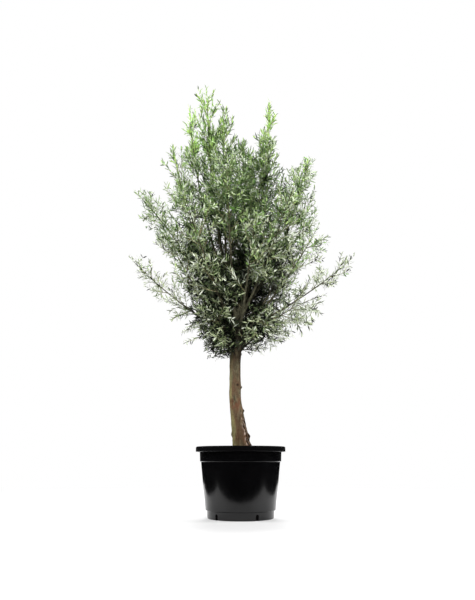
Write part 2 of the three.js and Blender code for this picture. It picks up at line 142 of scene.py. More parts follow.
# How much each layer of noise and each band counts in the cracks and the masks of the bark.
BARK = {
    "split_from": 1.2,
    "split_width": 0.18,
    "cracks_on_flank": 1.5,
    "cracks_at_foot": 0.35,
    "edge": 0.85,
    "edge_fibres": 0.6,
    "knot_edge": 1.25,
    "moss": 0.8,
    "moss_streak": 0.35,
    "moss_off_flank": 0.6,
    "rust": 0.75,
    "rust_at_foot": 0.75,
    "rust_flakes": 0.4,
    "rust_on_flank": 0.45,
    # Painted shade under the crown, and darker patches low on the foot away from the mossy side.
    "shade_under_crown": 0.55,
    "darker_low_foot": 0.5,
    "darker_foot_side": 0.8,
    "pale": 0.9,
    "pale_grit": 0.5,
    "pale_furrows": 0.4,
}
# Values between which noise and bands turn into each of the masks.
MASK_FROM = {
    "flaked_edge": (-0.35, 0.15),
    "moss": (0.62, 1.1),
    "blush": (-0.35, 0.2),
    "rust": (-0.35, 0.3),
    "crown_shade_and_dark_foot": (-0.5, 0.4),
    "pale": (-0.1, 0.3),
}
# Colours as sRGB numbers: those along the noise that deals them out, and those that lie over them in places.
RAMPS = {
    "pot": [(0.35, (6, 6, 7)), (0.7, (9, 9, 10))],
    "soil": [(0.3, (28, 21, 16)), (0.5, (54, 40, 30)), (0.66, (84, 66, 50)), (0.8, (120, 104, 84))],
    "trunk": [(0.34, (56, 52, 40)), (0.5, (88, 82, 63)), (0.66, (118, 111, 88))],
    "bough": [(0.3, (50, 49, 38)), (0.52, (72, 70, 55)), (0.75, (98, 96, 78))],
}
COATS = {
    # Painted shade on the soil below its top, which is seen only through the drain slots.
    "shade_below_top": (9, 8, 7),
    "patches": (94, 74, 56),
    "moss": (136, 132, 90),
    "rust": (104, 68, 50),
    # Painted shade on the trunk under the crown, and darker patches low on the foot.
    "crown_shade_and_dark_foot": (56, 44, 33),
    "specks": (56, 45, 34),
    "pale": (176, 158, 146),
    # Near-black: painted shade in the cracks and sunk knots, and the dark of raised knots and a flaked edge.
    "crack": (24, 18, 15),
}

# Knots of the trunk: height, heading in degrees, half size, how far they stand out, and how dark they are:
# painted shade in the hole of a sunk knot, the dark wood of a raised one.
KNOTS = [
    (742, -62, 9, -5, 1.0),
    (744, -62, 17, 3, 0.0),
    (731, -8, 8, 7, 0.8),
    (598, -8, 9, 8, 0.8),
    (655, -128, 10, 2, 0.3),
    (560, -70, 12, 2, 0.2),
    (850, 130, 11, 5, 0.6),
    (690, 60, 12, 5, 0.5),
    (462, 184, 15, 6, 0.3),
    (520, 176, 13, 3, 0.1),
    (455, -10, 14, 7, 0.9),
    (430, -22, 10, -6, 1.0),
    (540, -24, 8, -4, 0.9),
    (575, -34, 10, 3, 0.0),
]

# How each tier of limbs grows, as in the source.
TIERS = {
    "leader": {"out": 0.8, "rise": 0.42, "lift": 0, "bare": 0.32, "turn": 0.2, "lean": 0.55, "twigs": 130},
    "shoulder": {"out": 0.7, "rise": 0.36, "lift": 0, "bare": 0.32, "turn": 0.1, "lean": 0.65, "twigs": 150},
    "side": {"out": 0.6, "rise": 0.4, "lift": 20, "bare": 0.3, "turn": 0, "lean": 0.72, "twigs": 125},
    "arch": {"out": 0.42, "rise": 0.62, "lift": 0, "bare": 0.3, "turn": 0, "lean": 0.72, "twigs": 125},
    "skirt": {"out": 0.5, "rise": 0.5, "lift": 90, "bare": 0.22, "turn": -0.3, "lean": 0.72, "twigs": 66},
}

# One row for each limb, as in the source: name, tier, the limb it leaves and at what share of that one,
# heading, reach, height of its tip, half the width of its foliage, and its radius where it leaves.
LIMB_ROWS = [
    ("leader_left", "leader", "trunk", 0.985, 176, 207, 2578, 150, 19),
    ("leader_right", "leader", "trunk", 0.97, 8, 180, 2494, 80, 17),
    ("shoulder_front", "shoulder", "trunk", 0.94, -104, 320, 2040, 190, 15),
    ("shoulder_back", "shoulder", "trunk", 0.91, 76, 320, 2120, 190, 15),
    ("side_right", "side", "trunk", 0.93, -12, 460, 1660, 150, 14),
    ("side_left", "side", "trunk", 0.89, 194, 455, 1640, 150, 14),
    ("side_front", "side", "trunk", 0.86, -82, 540, 1560, 190, 13),
    ("side_back", "side", "trunk", 0.87, 98, 560, 1620, 190, 13),
    ("leader_outer", "leader", "leader_left", 0.2, 168, 318, 2470, 95, 11),
    ("leader_inner", "leader", "leader_left", 0.2, -150, 120, 2391, 110, 11),
    ("leader_middle", "leader", "leader_right", 0.18, 80, 100, 2270, 150, 12),
    ("leader_front", "leader", "shoulder_front", 0.1, -44, 190, 2200, 150, 12),
    ("shoulder_right", "shoulder", "leader_right", 0.12, 6, 408, 2132, 150, 12),
    ("shoulder_left", "shoulder", "leader_left", 0.12, 178, 405, 2190, 120, 12),
    ("side_left_upper", "arch", "side_left", 0.12, 173, 655, 1940, 110, 10),
    ("side_right_upper", "side", "side_right", 0.14, 14, 470, 1976, 100, 9),
    ("side_right_low", "side", "side_right", 0.09, -4, 660, 1488, 110, 9),
    ("side_left_low", "side", "side_left", 0.08, 184, 645, 1485, 95, 9),
    ("side_front_left", "side", "side_front", 0.08, -128, 520, 1800, 170, 11),
    ("side_front_right", "side", "shoulder_front", 0.07, -55, 510, 1800, 170, 11),
    ("side_back_left", "side", "side_back", 0.08, 132, 545, 1850, 170, 11),
    ("side_back_right", "side", "shoulder_back", 0.07, 50, 540, 1800, 170, 11),
    ("skirt_right", "skirt", "trunk", 0.83, -4, 490, 1260, 170, 10),
    ("skirt_left", "skirt", "trunk", 0.84, 178, 430, 1235, 165, 10),
    ("skirt_front_right", "skirt", "trunk", 0.8, -64, 350, 1105, 175, 9),
    ("skirt_front_left", "skirt", "trunk", 0.81, -122, 345, 1120, 170, 9),
    ("skirt_back_right", "skirt", "trunk", 0.785, 52, 380, 1115, 175, 9),
    ("skirt_back_left", "skirt", "trunk", 0.79, 120, 370, 1115, 170, 9),
]
BOUGH = {
    "tip_share": 0.55,
    "sides": 12,
    "rings": 64,
    "tip_radius": 1.1,
    "tip_gap": 24,
    "least_leafy": 0.05,
    "taper": 0.8,
    "collar": 0.55,
    "collar_run": 26,
    "relief": [(16, 0.1), (7, 0.05)],
}
# Growth, in millimetres and radians. A plume is the space of a limb's leaves, as shares of its half width.
PLUME = {"foot_width": 0.7, "opens_by": 0.3, "tip_width": 0.2, "taper": 3}
TWIG = {
    "first": 0.04,
    "range": 0.9,
    "lean_foot": 0.95,
    "lean_tip": 0.5,
    "lean_spread": 0.15,
    "turn_spread": 0.5,
    "longest": 260,
    "shortest": 40,
    "march_step": 10,
    "free_steps": 3,
    "source_leaf_room": 119,
    "leaf_room": 30,
    "fine_every": 34,
    "fine_turn": 1,
    "fine_lead": 0.6,
    "least_reach": 0.5,
    "reach_power": 1.8,
    "part_way": 0.6,
    "bow": 0.08,
    "waver": 0.035,
    "thick_foot": 1.3,
    "thick_per_length": 0.008,
    "tip_radius": 0.8,
    "rings": 5,
    "sides": 3,
}
# No shoot grows where a noise with cells of the size "clump" is under "thin_below". That rises by
# "thin_outside" at the outside of the crown, and by "thin_low" times as much low down.
SHOOT = {
    "every": 40,
    "first": 0.14,
    "last": 0.97,
    "uneven": 0.25,
    "spin_loose": 0.25,
    "lean": 0.9,
    "lean_loose": 0.1,
    "turn_share": 0.6,
    "longest": 170,
    "shortest": 26,
    "least_share": 0.45,
    "shrink": 0.45,
    "march_step": 15,
    "bow": 0.1,
    "waver": 0.07,
    "thick_foot": 1.1,
    "thick_per_length": 0,
    "tip_radius": 0.6,
    "rings": 3,
    "clump": (70, 180, 70),
    "thin_below": -0.14,
    "thin_outside": 0.42,
    "thin_low": 1.4,
}
# How much more shoots bow up on limbs that turn up.
TURN_BOW = 2
# How much thinner the shoots of some limbs stand than those of the rest; below nothing they stand thicker.
THINNER = {
    "leader_left": 0.3,
    "leader_right": 0.15,
    "leader_front": -0.1,
    "shoulder_left": 0.28,
    "shoulder_right": -0.08,
    "shoulder_front": 0.05,
    "side_left": 0.06,
    "side_left_upper": -0.35,
    "side_left_low": 0.1,
    "side_right_upper": 0.34,
    "side_right_low": 0.22,
    "side_front": 0.05,
    "side_front_left": 0.12,
    "side_front_right": 0.08,
    "side_back_left": 0.26,
    "side_back_right": 0.1,
    "skirt_left": 0.25,
    "skirt_right": -0.35,
    "skirt_front_left": 0.22,
    "skirt_back_left": 0.34,
    "skirt_back_right": -0.12,
}
# "lead" and "tail" place the first and the last pair of leaves on a shoot. Leaves may pass the edge of their
# limb's space by "spill". They grow thinner from "thin_from" down to "none_below", and at the right that
# begins "right_lift" higher up.
LEAF = {
    "length": 37,
    "width": 7.2,
    "ridge": 1.0,
    "sink": 0.4,
    "every": 11.5,
    "lead": 0.7,
    "tail": 0.29,
    "pair_sizes": (0.82, 1.12),
    "lengths": (0.75, 1.1),
    "widths": (0.85, 1.12),
    "tip_from": 0.8,
    "tip_shrink": 0.25,
    "top_growth": 0.2,
    "arch": 0.16,
    "least_arch": 0.2,
    "lean_foot": 1.1,
    "lean_tip": 0.6,
    "lean_loose": 0.32,
    "spin_loose": 0.2,
    "turn_share": 0.35,
    "up_share": 0.45,
    "loose": 0.5,
    "spill": 8,
    "none_below": 870,
    "thin_from": 1040,
    "right_lift": 50,
    "lifted_from": (-30, 60),
    "lowest_end": 25,
    "mottle": 0.62,
    "inner_mottle": 0.31,
}
# The leafy stretch of each kind of wood, as shares of its length.
LEAFY = {"inner_twigs": (0.3, 1.0), "twigs": (0.35, 1.0), "shoots": (0.1, 1.0), "limbs": (0.62, 0.985)}
# Short twigs in the shade. They grow from "from" on along each bare bough, and as far as "core_to" in masses
# that are at least "core_spread" wide.
INNER = {
    "from": 0.12,
    "every": 22,
    "core_to": 0.8,
    "core_every": 30,
    "core_spread": 120,
    "lean": 1.0,
    "lean_loose": 0.15,
    "shortest": 60,
    "longest": 190,
    "width": 190,
    "lowest": 885,
    "thin_below": -0.6,
    "thin_outside": 0.75,
}
SPROUTS = {"lowest": 905, "below_fork": 20, "count": 44, "rise": (-0.1, 0.5)}
# How far shoots and leaves stay inside the CAD's box and off the boughs, and how far they may reach in among
# those of the next limb.
BOX_GAP = 2
BOUGH_GAP = 4
MIX = 36
BOX_LOW = np.array(cad_low) / MM + BOX_GAP
BOX_HIGH = np.array(cad_high) / MM - BOX_GAP
# Steps in which the leafy and the bare part of a limb are measured, and how many points are taken at once.
AXIS_STEPS = 12
BOUGH_STEPS = 8
CHUNK = 4000

# Heights between which each of these goes from nothing to its full amount.
RISES = {
    "above_foot": (380, 600),
    "above_darker_foot": (560, 680),
    "under_crown": (760, 960),
    "tighter": (1150, 1400),
    "fuller": (1900, 2150),
    "upright": (1850, 2300),
    "longer": (1900, 2300),
    "less_shade_inside": (1600, 2300),
    "middle_tints": (1250, 1800),
    "high_tints": (1950, 2300),
}
# How much less shoots and leaves lean at the top.
UPRIGHT_SHARE = 0.35
# Half the width of the crown and of its shaded core by height, and the shares of it where the outside begins.
CROWN_WIDTHS = {900: 320, 1100: 400, 1300: 480, 1600: 620, 1900: 600, 2150: 480, 2350: 340, 2600: 200}
CORE_WIDTHS = {900: 220, 1000: 260, 1100: 290, 1300: 340, 1600: 440, 1900: 430, 2150: 330, 2350: 210}
OUTSIDE = (0.55, 1.1)

# Hollows in the front of the crown, darkened by painted shade on the sprays seen through them: the middle of
# each, as x and z where y is "front", and its half sizes across and up. They go back along the sight line,
# which rises by "rise", and no leaf grows in them in front of "back".
HOLLOWS = [(97, 1202, 88, 70), (7, 1098, 52, 52), (-19, 1412, 42, 90), (-120, 1496, 46, 66)]
HOLLOW_DEPTH = {"front": -250, "rise": 0.3, "back": 30}
# Places, given in the same way, where sprays are darker than round them as painted shade (below nothing) and
# paler as painted light (above nothing), and by how much.
PAINTED_SHADE_AND_LIGHT = [(175, 1640, 90, 300, -0.28), (130, 1324, 100, 50, 0.35), (-150, 1215, 70, 70, 0.35)]

# The upper side and the underside of each tint of leaf, as sRGB numbers.
LEAF_TINTS = {
    "shade": ((9, 12, 7), (28, 33, 24)),
    "deep": ((46, 58, 36), (106, 122, 86)),
    "dull": ((81, 96, 60), (152, 166, 126)),
    "grey": ((115, 128, 92), (194, 202, 180)),
    "pale": ((158, 168, 133), (218, 224, 207)),
    "moss": ((42, 60, 33), (102, 122, 80)),
    "sage": ((76, 98, 53), (147, 167, 116)),
    "green": ((80, 115, 53), (152, 179, 115)),
    "bright": ((117, 156, 76), (178, 203, 131)),
    "silver": ((153, 169, 125), (214, 224, 198)),
    "fresh_and_lit": ((149, 193, 98), (200, 226, 141)),
}
# Which tints the low, the middle and the high sprays take, from those in painted shade to the freshest ones
# in painted light.
TINT_FAMILIES = [
    ["shade", "deep", "dull", "grey", "pale"],
    ["moss", "sage", "green", "bright", "silver"],
    ["moss", "sage", "green", "bright", "fresh_and_lit"],
]
# How fresh and how lit a spray is: paler by how far out it is, which is painted light on the outside of the
# crown and painted shade within; by noise with cells as large as "cloud"; and by its height, where the top is
# paler as new growth and painted light. Sprays in the shaded inside take a range of painted shade of their
# own instead, less dark at the top and at the edge of the core.
SPRAY = {
    "out": 1.35,
    "out_to": 0.75,
    "cloud": 120,
    "cloud_shift": 2.7,
    "cloud_share": 0.18,
    "middle": -0.27,
    "loose": 0.15,
    "inner": (-0.3, 0.24),
    "inner_top": 0.36,
    "inner_edge": 0.45,
    "edge": (0.5, 1.1),
    "hollow_shade": -0.8,
    "middle_share": 0.95,
}
FRESH_AND_LIT_BY_HEIGHT = {900: 0.18, 1250: 0.21, 1450: 0.14, 1600: -0.03, 1900: -0.1, 2150: 0.04, 2350: 0.28, 2600: 0.38}
# Roughness and gloss of a leaf's two sides, and the colour, roughness and gloss of thin wood.
LEAF_SIDES = {"": (0.4, 0.5), "_under": (0.7, 0.25)}
WOOD = {
    "twig_bark": ((122, 118, 88), 0.8, 0.25),
    "shoot_bark": ((142, 150, 104), 0.7, 0.3),
    "shaded_bark": ((64, 62, 48), 0.8, 0.2),
}

# Stage, in metres and degrees. Lamps: place, aim, size, spread, power, and whether the gloss mirrors them.
CAMERA = {"x": -0.0173, "y": -3.4, "z": 0.313, "pitch": 6.737, "lens": 36.26, "sensor": 36, "shift_y": 0.15}
WORLD = {"seen": 1.0, "light": 0.13, "shine": 0.03}
LAMPS = {
    "top": ((0.2, 0.9, 7.0), (0, 0, 1.2), 2.4, 180, 640, True),
    "front": ((1.0, -6.0, 3.0), (0, 0, 1.3), 0.7, 30, 15, False),
    "left": ((-3.8, -0.6, 4.4), (0, 0, 1.2), 2.0, 180, 290, False),
    "right": ((3.8, -0.4, 4.4), (0, 0, 1.2), 2.0, 180, 290, False),
    "back": ((0.0, 4.0, 3.4), (0, 0, 0.6), 2.6, 180, 420, False),
}
FLOOR = {"radius": 4.2, "sides": 96, "tone": 148, "glow": 0.42, "fades_from": 1.7, "fades_to": 3.6}
FLAG = {"height": 0.004, "radius": 14, "sides": 144, "tone": 6}
# The lit part of the floor that the pot mirrors: the radius of its edge by heading from the front.
MIRRORED_FLOOR = {
    0: 0.545,
    30: 0.61,
    45: 0.73,
    58: 0.9,
    66: 1.06,
    70: 1.08,
    82: 0.94,
    101: 0.92,
    115: 1.02,
    130: 1.38,
    158: 3.2,
    180: 4.0,
}


def smoothstep(value, low, high):
    share = np.clip((np.asarray(value, float) - low) / (high - low), 0, 1)
    return share * share * (3 - 2 * share)


def lerp(low, high, share):
    return low + (high - low) * share


def unit(vectors):
    return vectors / np.maximum(np.linalg.norm(vectors, axis=-1, keepdims=True), 1e-9)


def square_to(ways):
    """A direction square to each way."""
    reference = np.where(np.abs(ways[:, 2:3]) < NEARLY_UPRIGHT, UP, RIGHT)
    return unit(np.cross(ways, reference))


def linear(colour):
    """A colour in sRGB numbers from 0 to 255, as the linear numbers that a shader takes."""
    shares = [part / 255 for part in colour]
    return tuple(c / 12.92 if c <= 0.04045 else ((c + 0.055) / 1.055) ** 2.4 for c in shares) + (1.0,)


def seeded(seed):
    """The source's run of numbers from 0 to 1."""
    state = seed
    while True:
        state = (state * 1664525 + 1013904223) % 2**32
        yield state / 2**32


def risen(points, name):
    """How far each point is up one of the rises, from 0 to 1."""
    return smoothstep(points[..., 2], *RISES[name])


def by_height(points, table):
    """The value at each point's height, between those in a table."""
    return np.interp(points[:, 2], list(table), list(table.values()))


def placed(name, data):
    """An object with this data, put into the scene."""
    made = bpy.data.objects.new(name, data)
    bpy.context.scene.collection.objects.link(made)
    return made


def plain_mesh(name, points, faces):
    """An object of points in metres and faces with any number of corners."""
    mesh = bpy.data.meshes.new(name)
    mesh.from_pydata(points, [], faces)
    return placed(name, mesh)


def make_piece(name, points, faces, looks, face_looks=None, smooth=True):
    """An object of arrays: points in millimetres, and faces that all have the same number of corners."""
    mesh = bpy.data.meshes.new(name)
    count, corners = faces.shape
    mesh.vertices.add(len(points))
    mesh.vertices.foreach_set("co", (np.asarray(points) * MM).astype(np.float32).ravel())
    mesh.loops.add(count * corners)
    mesh.loops.foreach_set("vertex_index", faces.astype(np.int32).ravel())
    mesh.polygons.add(count)
    mesh.polygons.foreach_set("loop_start", np.arange(0, count * corners, corners, dtype=np.int32))
    mesh.polygons.foreach_set("use_smooth", np.full(count, smooth))
    for look in looks:
        mesh.materials.append(look)
    if face_looks is not None:
        mesh.polygons.foreach_set("material_index", np.asarray(face_looks, np.int32))
    mesh.update(calc_edges=True)
    mesh.validate()
    return placed(name, mesh)


def finish_piece(piece, nodes):
    """Names the body that the piece rides, and the nodes of the source that it replaces."""
    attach(piece, "root")
    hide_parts(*nodes)


def add_masks(piece, masks):
    """Stores one number a vertex for each named mask, which the material reads by its name."""
    for name, values in masks.items():
        attribute = piece.data.attributes.new(name, "FLOAT", "POINT")
        attribute.data.foreach_set("value", np.asarray(values, np.float32).ravel())


def noise_at(points, scale, shift=0.0):
    """Smooth noise from -1 to 1 at places in millimetres, with cells of this size, one or three numbers."""
    cells = np.asarray(points) / np.asarray(scale) + shift
    return np.array([noise.noise(Vector(cell)) for cell in cells.reshape(-1, 3)]).reshape(cells.shape[:-1])


# Materials.
class Look:
    """A material being put together from nodes round one Principled shader."""

    def __init__(self, name, roughness=0.6, specular=0.5):
        self.material = bpy.data.materials.new(name)
        self.material.use_nodes = True
        self.tree = self.material.node_tree
        self.shader = self.tree.nodes["Principled BSDF"]
        self.shader.inputs["Roughness"].default_value = roughness
        self.shader.inputs["Specular IOR Level"].default_value = specular

    def node(self, kind, **settings):
        made = self.tree.nodes.new(kind)
        for key, value in settings.items():
            if hasattr(made, key):
                setattr(made, key, value)
            else:
                made.inputs[key].default_value = value
        return made

    def link(self, output, socket):
        self.tree.links.new(output, socket)

    def place(self):
        return self.node("ShaderNodeTexCoord").outputs["Object"]

    def noise(self, scale, detail=4.0, stretch=(1, 1, 1), rough=0.55):
        spread = self.node("ShaderNodeMapping")
        spread.inputs["Scale"].default_value = stretch
        self.link(self.place(), spread.inputs["Vector"])
        made = self.node("ShaderNodeTexNoise", Scale=scale, Detail=detail, Roughness=rough)
        self.link(spread.outputs["Vector"], made.inputs["Vector"])
        return made.outputs["Fac"]

    def mask(self, name):
        return self.node("ShaderNodeAttribute", attribute_name=name).outputs["Fac"]

    def ramp(self, source, stops):
        made = self.node("ShaderNodeValToRGB")
        band = made.color_ramp
        for place, colour in stops:
            stop = band.elements.new(place)
            stop.color = linear(colour)
        band.elements.remove(band.elements[0])
        band.elements.remove(band.elements[-1])
        self.link(source, made.inputs["Fac"])
        return made.outputs["Color"]

    def span(self, source, low, high, to_low=0.0, to_high=1.0):
        made = self.node("ShaderNodeMapRange")
        for socket, value in (("From Min", low), ("From Max", high), ("To Min", to_low), ("To Max", to_high)):
            made.inputs[socket].default_value = value
        self.link(source, made.inputs["Value"])
        return made.outputs["Result"]

    def mix(self, share, first, second):
        made = self.node("ShaderNodeMix", data_type="RGBA")
        for value, index in ((share, 0), (first, 6), (second, 7)):
            if isinstance(value, tuple):
                made.inputs[index].default_value = value
            else:
                self.link(value, made.inputs[index])
        return made.outputs[2]

    def combine(self, operation, first, second):
        made = self.node("ShaderNodeMath", operation=operation)
        self.link(first, made.inputs[0])
        self.link(second, made.inputs[1])
        return made.outputs[0]

    def coated(self, base, *names):
        """The base with one coat after another laid over it, each where its mask is."""
        for name in names:
            base = self.mix(self.mask(name), base, linear(COATS[name]))
        return base

    def bump(self, height, distance, strength=1.0):
        made = self.node("ShaderNodeBump", Strength=strength, Distance=distance)
        self.link(height, made.inputs["Height"])
        self.link(made.outputs["Normal"], self.shader.inputs["Normal"])

    def paint(self, colour):
        if isinstance(colour, tuple):
            self.shader.inputs["Base Color"].default_value = colour
        else:
            self.link(colour, self.shader.inputs["Base Color"])
        return self


def pot_look():
    look = Look("pot_plastic", specular=0.45)
    cloud = look.noise(scale=14, detail=5)
    look.paint(look.ramp(cloud, RAMPS["pot"]))
    worn = look.span(cloud, low=0.3, high=0.7, to_low=0.11, to_high=0.17)
    look.link(worn, look.shader.inputs["Roughness"])
    look.bump(look.noise(scale=220, detail=3, stretch=(1, 1, 0.35)), distance=0.0003, strength=0.08)
    return look.material


def soil_look():
    look = Look("potting_soil", roughness=0.95, specular=0.2)
    crumbs = look.noise(scale=160, detail=8)
    # Below its top the soil is painted near-black as shade.
    look.paint(look.coated(look.ramp(crumbs, RAMPS["soil"]), "shade_below_top"))
    look.bump(crumbs, distance=0.003, strength=0.8)
    return look.material


def trunk_look():
    look = Look("trunk_bark", roughness=0.85, specular=0.25)
    grain = look.noise(scale=95, detail=7, stretch=(1, 1, 0.3), rough=0.62)
    patches = look.noise(scale=18, detail=6, stretch=(1, 1, 0.6))
    bark = look.ramp(grain, RAMPS["trunk"])
    bark = look.mix(look.span(patches, low=0.44, high=0.62), bark, linear(COATS["patches"]))
    # Moss, rust, then painted shade under the crown with darker patches low on the foot.
    bark = look.coated(bark, "moss", "rust", "crown_shade_and_dark_foot")
    specks = look.noise(scale=150, detail=6, stretch=(1, 1, 0.6), rough=0.7)
    bark = look.mix(look.span(specks, low=0.5, high=0.62, to_high=0.55), bark, linear(COATS["specks"]))
    # Pale strips, and over them painted shade in the cracks and sunk knots, with dark bark at raised knots
    # and a flaked edge.
    look.paint(look.coated(bark, "pale", "crack"))
    look.bump(look.noise(scale=200, detail=8, stretch=(1, 1, 0.35)), distance=0.0022, strength=0.9)
    return look.material


def bough_look():
    look = Look("bough_bark", roughness=0.8, specular=0.25)
    grain = look.noise(scale=90, detail=6, stretch=(1, 1, 0.5))
    look.paint(look.ramp(grain, RAMPS["bough"]))
    look.bump(look.noise(scale=300, detail=6), distance=0.0008, strength=0.6)
    return look.material


def plain_look(name, colour, roughness, specular):
    return Look(name, roughness, specular).paint(linear(colour)).material


# Pot.
def rounded(corners, steps):
    """A profile with rounded corners. Each corner is a radius from the axis, a height and its rounding."""
    profile = []
    for i, (radius, height, rounding) in enumerate(corners):
        corner = np.array([radius, height], float)
        if rounding == 0:
            profile.append(corner)
            continue
        before = unit(np.array(corners[i - 1][:2]) - corner) * rounding
        after = unit(np.array(corners[i + 1][:2]) - corner) * rounding
        for step in range(steps + 1):
            share = step / steps
            profile.append(corner + before * (1 - share) ** 2 + after * share**2)
    return np.array(profile)


def stiffened(profile, reach):
    """The profile with a point a little way in from both ends of each long run, which makes it shade flat."""
    points = [profile[0]]
    for near, far in zip(profile[:-1], profile[1:]):
        way = unit(far - near)
        if np.linalg.norm(far - near) > 4 * reach:
            points += [near + way * reach, far - way * reach]
        points.append(far)
    return np.array(points)


def turned(profile, segments):
    """The closed surface that a profile from the axis to the axis makes when it is turned round Z."""
    angles = np.arange(segments) * 2 * math.pi / segments
    radii, heights = profile[1:-1, 0:1], profile[1:-1, 1:2]
    rings = np.stack([radii * np.cos(angles), radii * np.sin(angles), heights + 0 * angles], axis=-1)
    poles = np.array([[0, 0, profile[0][1]], [0, 0, profile[-1][1]]])
    points = np.concatenate([rings.reshape(-1, 3), poles])
    faces = tube_faces(1, len(radii), segments, caps=False)
    first, last = len(points) - 2, len(points) - 1
    around = np.arange(segments)
    ahead = (around + 1) % segments
    top = (len(radii) - 1) * segments
    foot_cap = np.stack([np.full(segments, first), ahead, around], axis=-1)
    head_cap = np.stack([np.full(segments, last), top + around, top + ahead], axis=-1)
    return points, np.concatenate([faces, foot_cap, head_cap])


def tube_faces(count, rings, sides, caps=True):
    """Triangles of many tubes whose points lie tube by tube and ring by ring."""
    ring, side = np.meshgrid(np.arange(rings - 1), np.arange(sides), indexing="ij")
    a = ring * sides + side
    b = ring * sides + (side + 1) % sides
    one = np.concatenate(
        [
            np.stack([a, b, b + sides], axis=-1).reshape(-1, 3),
            np.stack([a, b + sides, a + sides], axis=-1).reshape(-1, 3),
        ]
    )
    if caps:
        fan = np.arange(1, sides - 1)
        last = (rings - 1) * sides
        foot = np.stack([np.zeros_like(fan), fan + 1, fan], axis=-1)
        head = np.stack([np.full_like(fan, last), last + fan, last + fan + 1], axis=-1)
        one = np.concatenate([one, foot, head])
    shifts = np.arange(count)[:, None, None] * rings * sides
    return (one[None] + shifts).reshape(-1, 3)


def tubes(paths, radii, sides):
    """Points and faces of round tubes along many paths at once, with no twist."""
    count, rings, _ = paths.shape
    ways = unit(np.gradient(paths, axis=1))
    side = square_to(ways[:, 0])
    angles = np.arange(sides) * 2 * math.pi / sides
    points = np.empty((count, rings, sides, 3))
    for ring in range(rings):
        way = ways[:, ring]
        side = unit(side - (side * way).sum(-1, keepdims=True) * way)
        up = np.cross(way, side)
        out = side[:, None] * np.cos(angles)[:, None] + up[:, None] * np.sin(angles)[:, None]
        points[:, ring] = paths[:, ring, None] + out * radii[:, ring, None, None]
    return points.reshape(-1, 3), tube_faces(count, rings, sides)


def applied(piece, cutter):
    """Cuts one object out of another for good."""
    cut = piece.modifiers.new("cut", "BOOLEAN")
    cut.object = cutter
    cut.solver = "EXACT"
    bpy.context.view_layer.update()
    mesh = bpy.data.meshes.new_from_object(piece.evaluated_get(bpy.context.evaluated_depsgraph_get()))
    piece.modifiers.clear()
    piece.data = mesh
    bpy.data.objects.remove(cutter)


def drain_cutters():
    """One closed block with a rounded top for each drain slot."""
    half = DRAIN["width"] / 2
    arch = [math.pi * i / DRAIN["corner_steps"] for i in range(DRAIN["corner_steps"] + 1)]
    outline = [(half, -DRAIN["height"])]
    outline += [(half * math.cos(a), DRAIN["height"] - half + half * math.sin(a)) for a in arch]
    outline += [(-half, -DRAIN["height"])]
    points, faces = [], []
    size = len(outline)
    for i in range(DRAIN["count"]):
        heading = math.radians(DRAIN["first_heading"] + 360 * i / DRAIN["count"])
        first = len(points)
        for reach in (POT["base_radius"] - DRAIN["depth"] / 2, POT["base_radius"] + DRAIN["depth"] / 2):
            for across, height in outline:
                x = reach * math.cos(heading) - across * math.sin(heading)
                y = reach * math.sin(heading) + across * math.cos(heading)
                points.append((x * MM, y * MM, height * MM))
        near = list(range(first, first + size))
        far = list(range(first + size, first + 2 * size))
        faces += [near[::-1], far]
        for k in range(size):
            ahead = (k + 1) % size
            faces.append([near[k], near[ahead], far[ahead], far[k]])
    return plain_mesh("drain_cutters", points, faces)


def build_pot():
    """The pot, turned from a profile from the middle of its underside up the outside and down the inside."""
    shell, step = POT["shell"], POT["step"]
    # Radius, height and rounding of each corner.
    corners = [
        (0, 0, 0),
        (POT["base_radius"], 0, 8),
        (POT["foot_top_radius"], POT["foot_top"], 1.5),
        (POT["wall_foot_radius"], POT["foot_top"] + step, 2.5),
        (POT["wall_top_radius"], POT["band_foot"] - POT["band_step"], 0.8),
        (POT["band_foot_radius"], POT["band_foot"], 0.8),
        (POT["band_top_radius"], POT["height"] - POT["lip_top"], 3),
        (POT["lip_radius"] - shell, POT["height"] - POT["lip_top"], 4),
        (POT["lip_radius"] - shell, POT["lip_foot"], 1.2),
        (POT["lip_radius"], POT["lip_foot"], 1.8),
        (POT["lip_radius"], POT["height"], 9),
        (POT["band_top_radius"] - shell, POT["height"], 7),
        (POT["band_foot_radius"] - shell, POT["band_foot"] + shell, 3),
        (POT["wall_top_radius"] - shell, POT["band_foot"] - step, 2),
        (POT["wall_foot_radius"] - shell, POT["foot_top"] + step + shell, 2),
        (POT["foot_top_radius"] - shell, POT["foot_top"] + shell, 2),
        (POT["base_radius"] - shell, shell, 5),
        (0, shell, 0),
    ]
    profile = stiffened(rounded(corners, POT["corner_steps"]), POT["flat_from"])
    points, faces = turned(profile, POT["segments"])
    pot = make_piece("pot_shell", points, faces, [pot_look()])
    applied(pot, drain_cutters())
    pot.data.polygons.foreach_set("use_smooth", np.full(len(pot.data.polygons), True))
    pot.data.set_sharp_from_angle(angle=math.radians(POT["sharp_angle"]))
    finish_piece(pot, ["pot"])


def build_soil():
    flat_rings = [(SOIL["radius"] * (1 - i / SOIL["rings"]), SOIL["top"]) for i in range(SOIL["rings"] + 1)]
    points, faces = turned(np.array(SOIL["under"] + flat_rings, float), SOIL["segments"])
    surface = points[:, 2] >= SOIL["top"]
    flat = points[surface]
    off_trunk = np.hypot(flat[:, 0] - TRUNK["foot_x"], flat[:, 1])
    heap = SOIL["hump"] * np.exp(-(off_trunk / SOIL["hump_reach"]) ** 2)
    points[surface, 2] += heap + sum(up * noise_at(flat, across) for across, up in SOIL["waves"])
    soil = make_piece("soil_fill", points, faces, [soil_look()])
    # Marks the soil below its top for its painted shade.
    add_masks(soil, {"shade_below_top": 1.0 - surface})
    finish_piece(soil, ["soil"])


# Trunk.
def trunk_share(height):
    """How far up the trunk each height is, as a share of its rise from foot to fork."""
    return (height - TRUNK["foot"]) / TRUNK_RISE


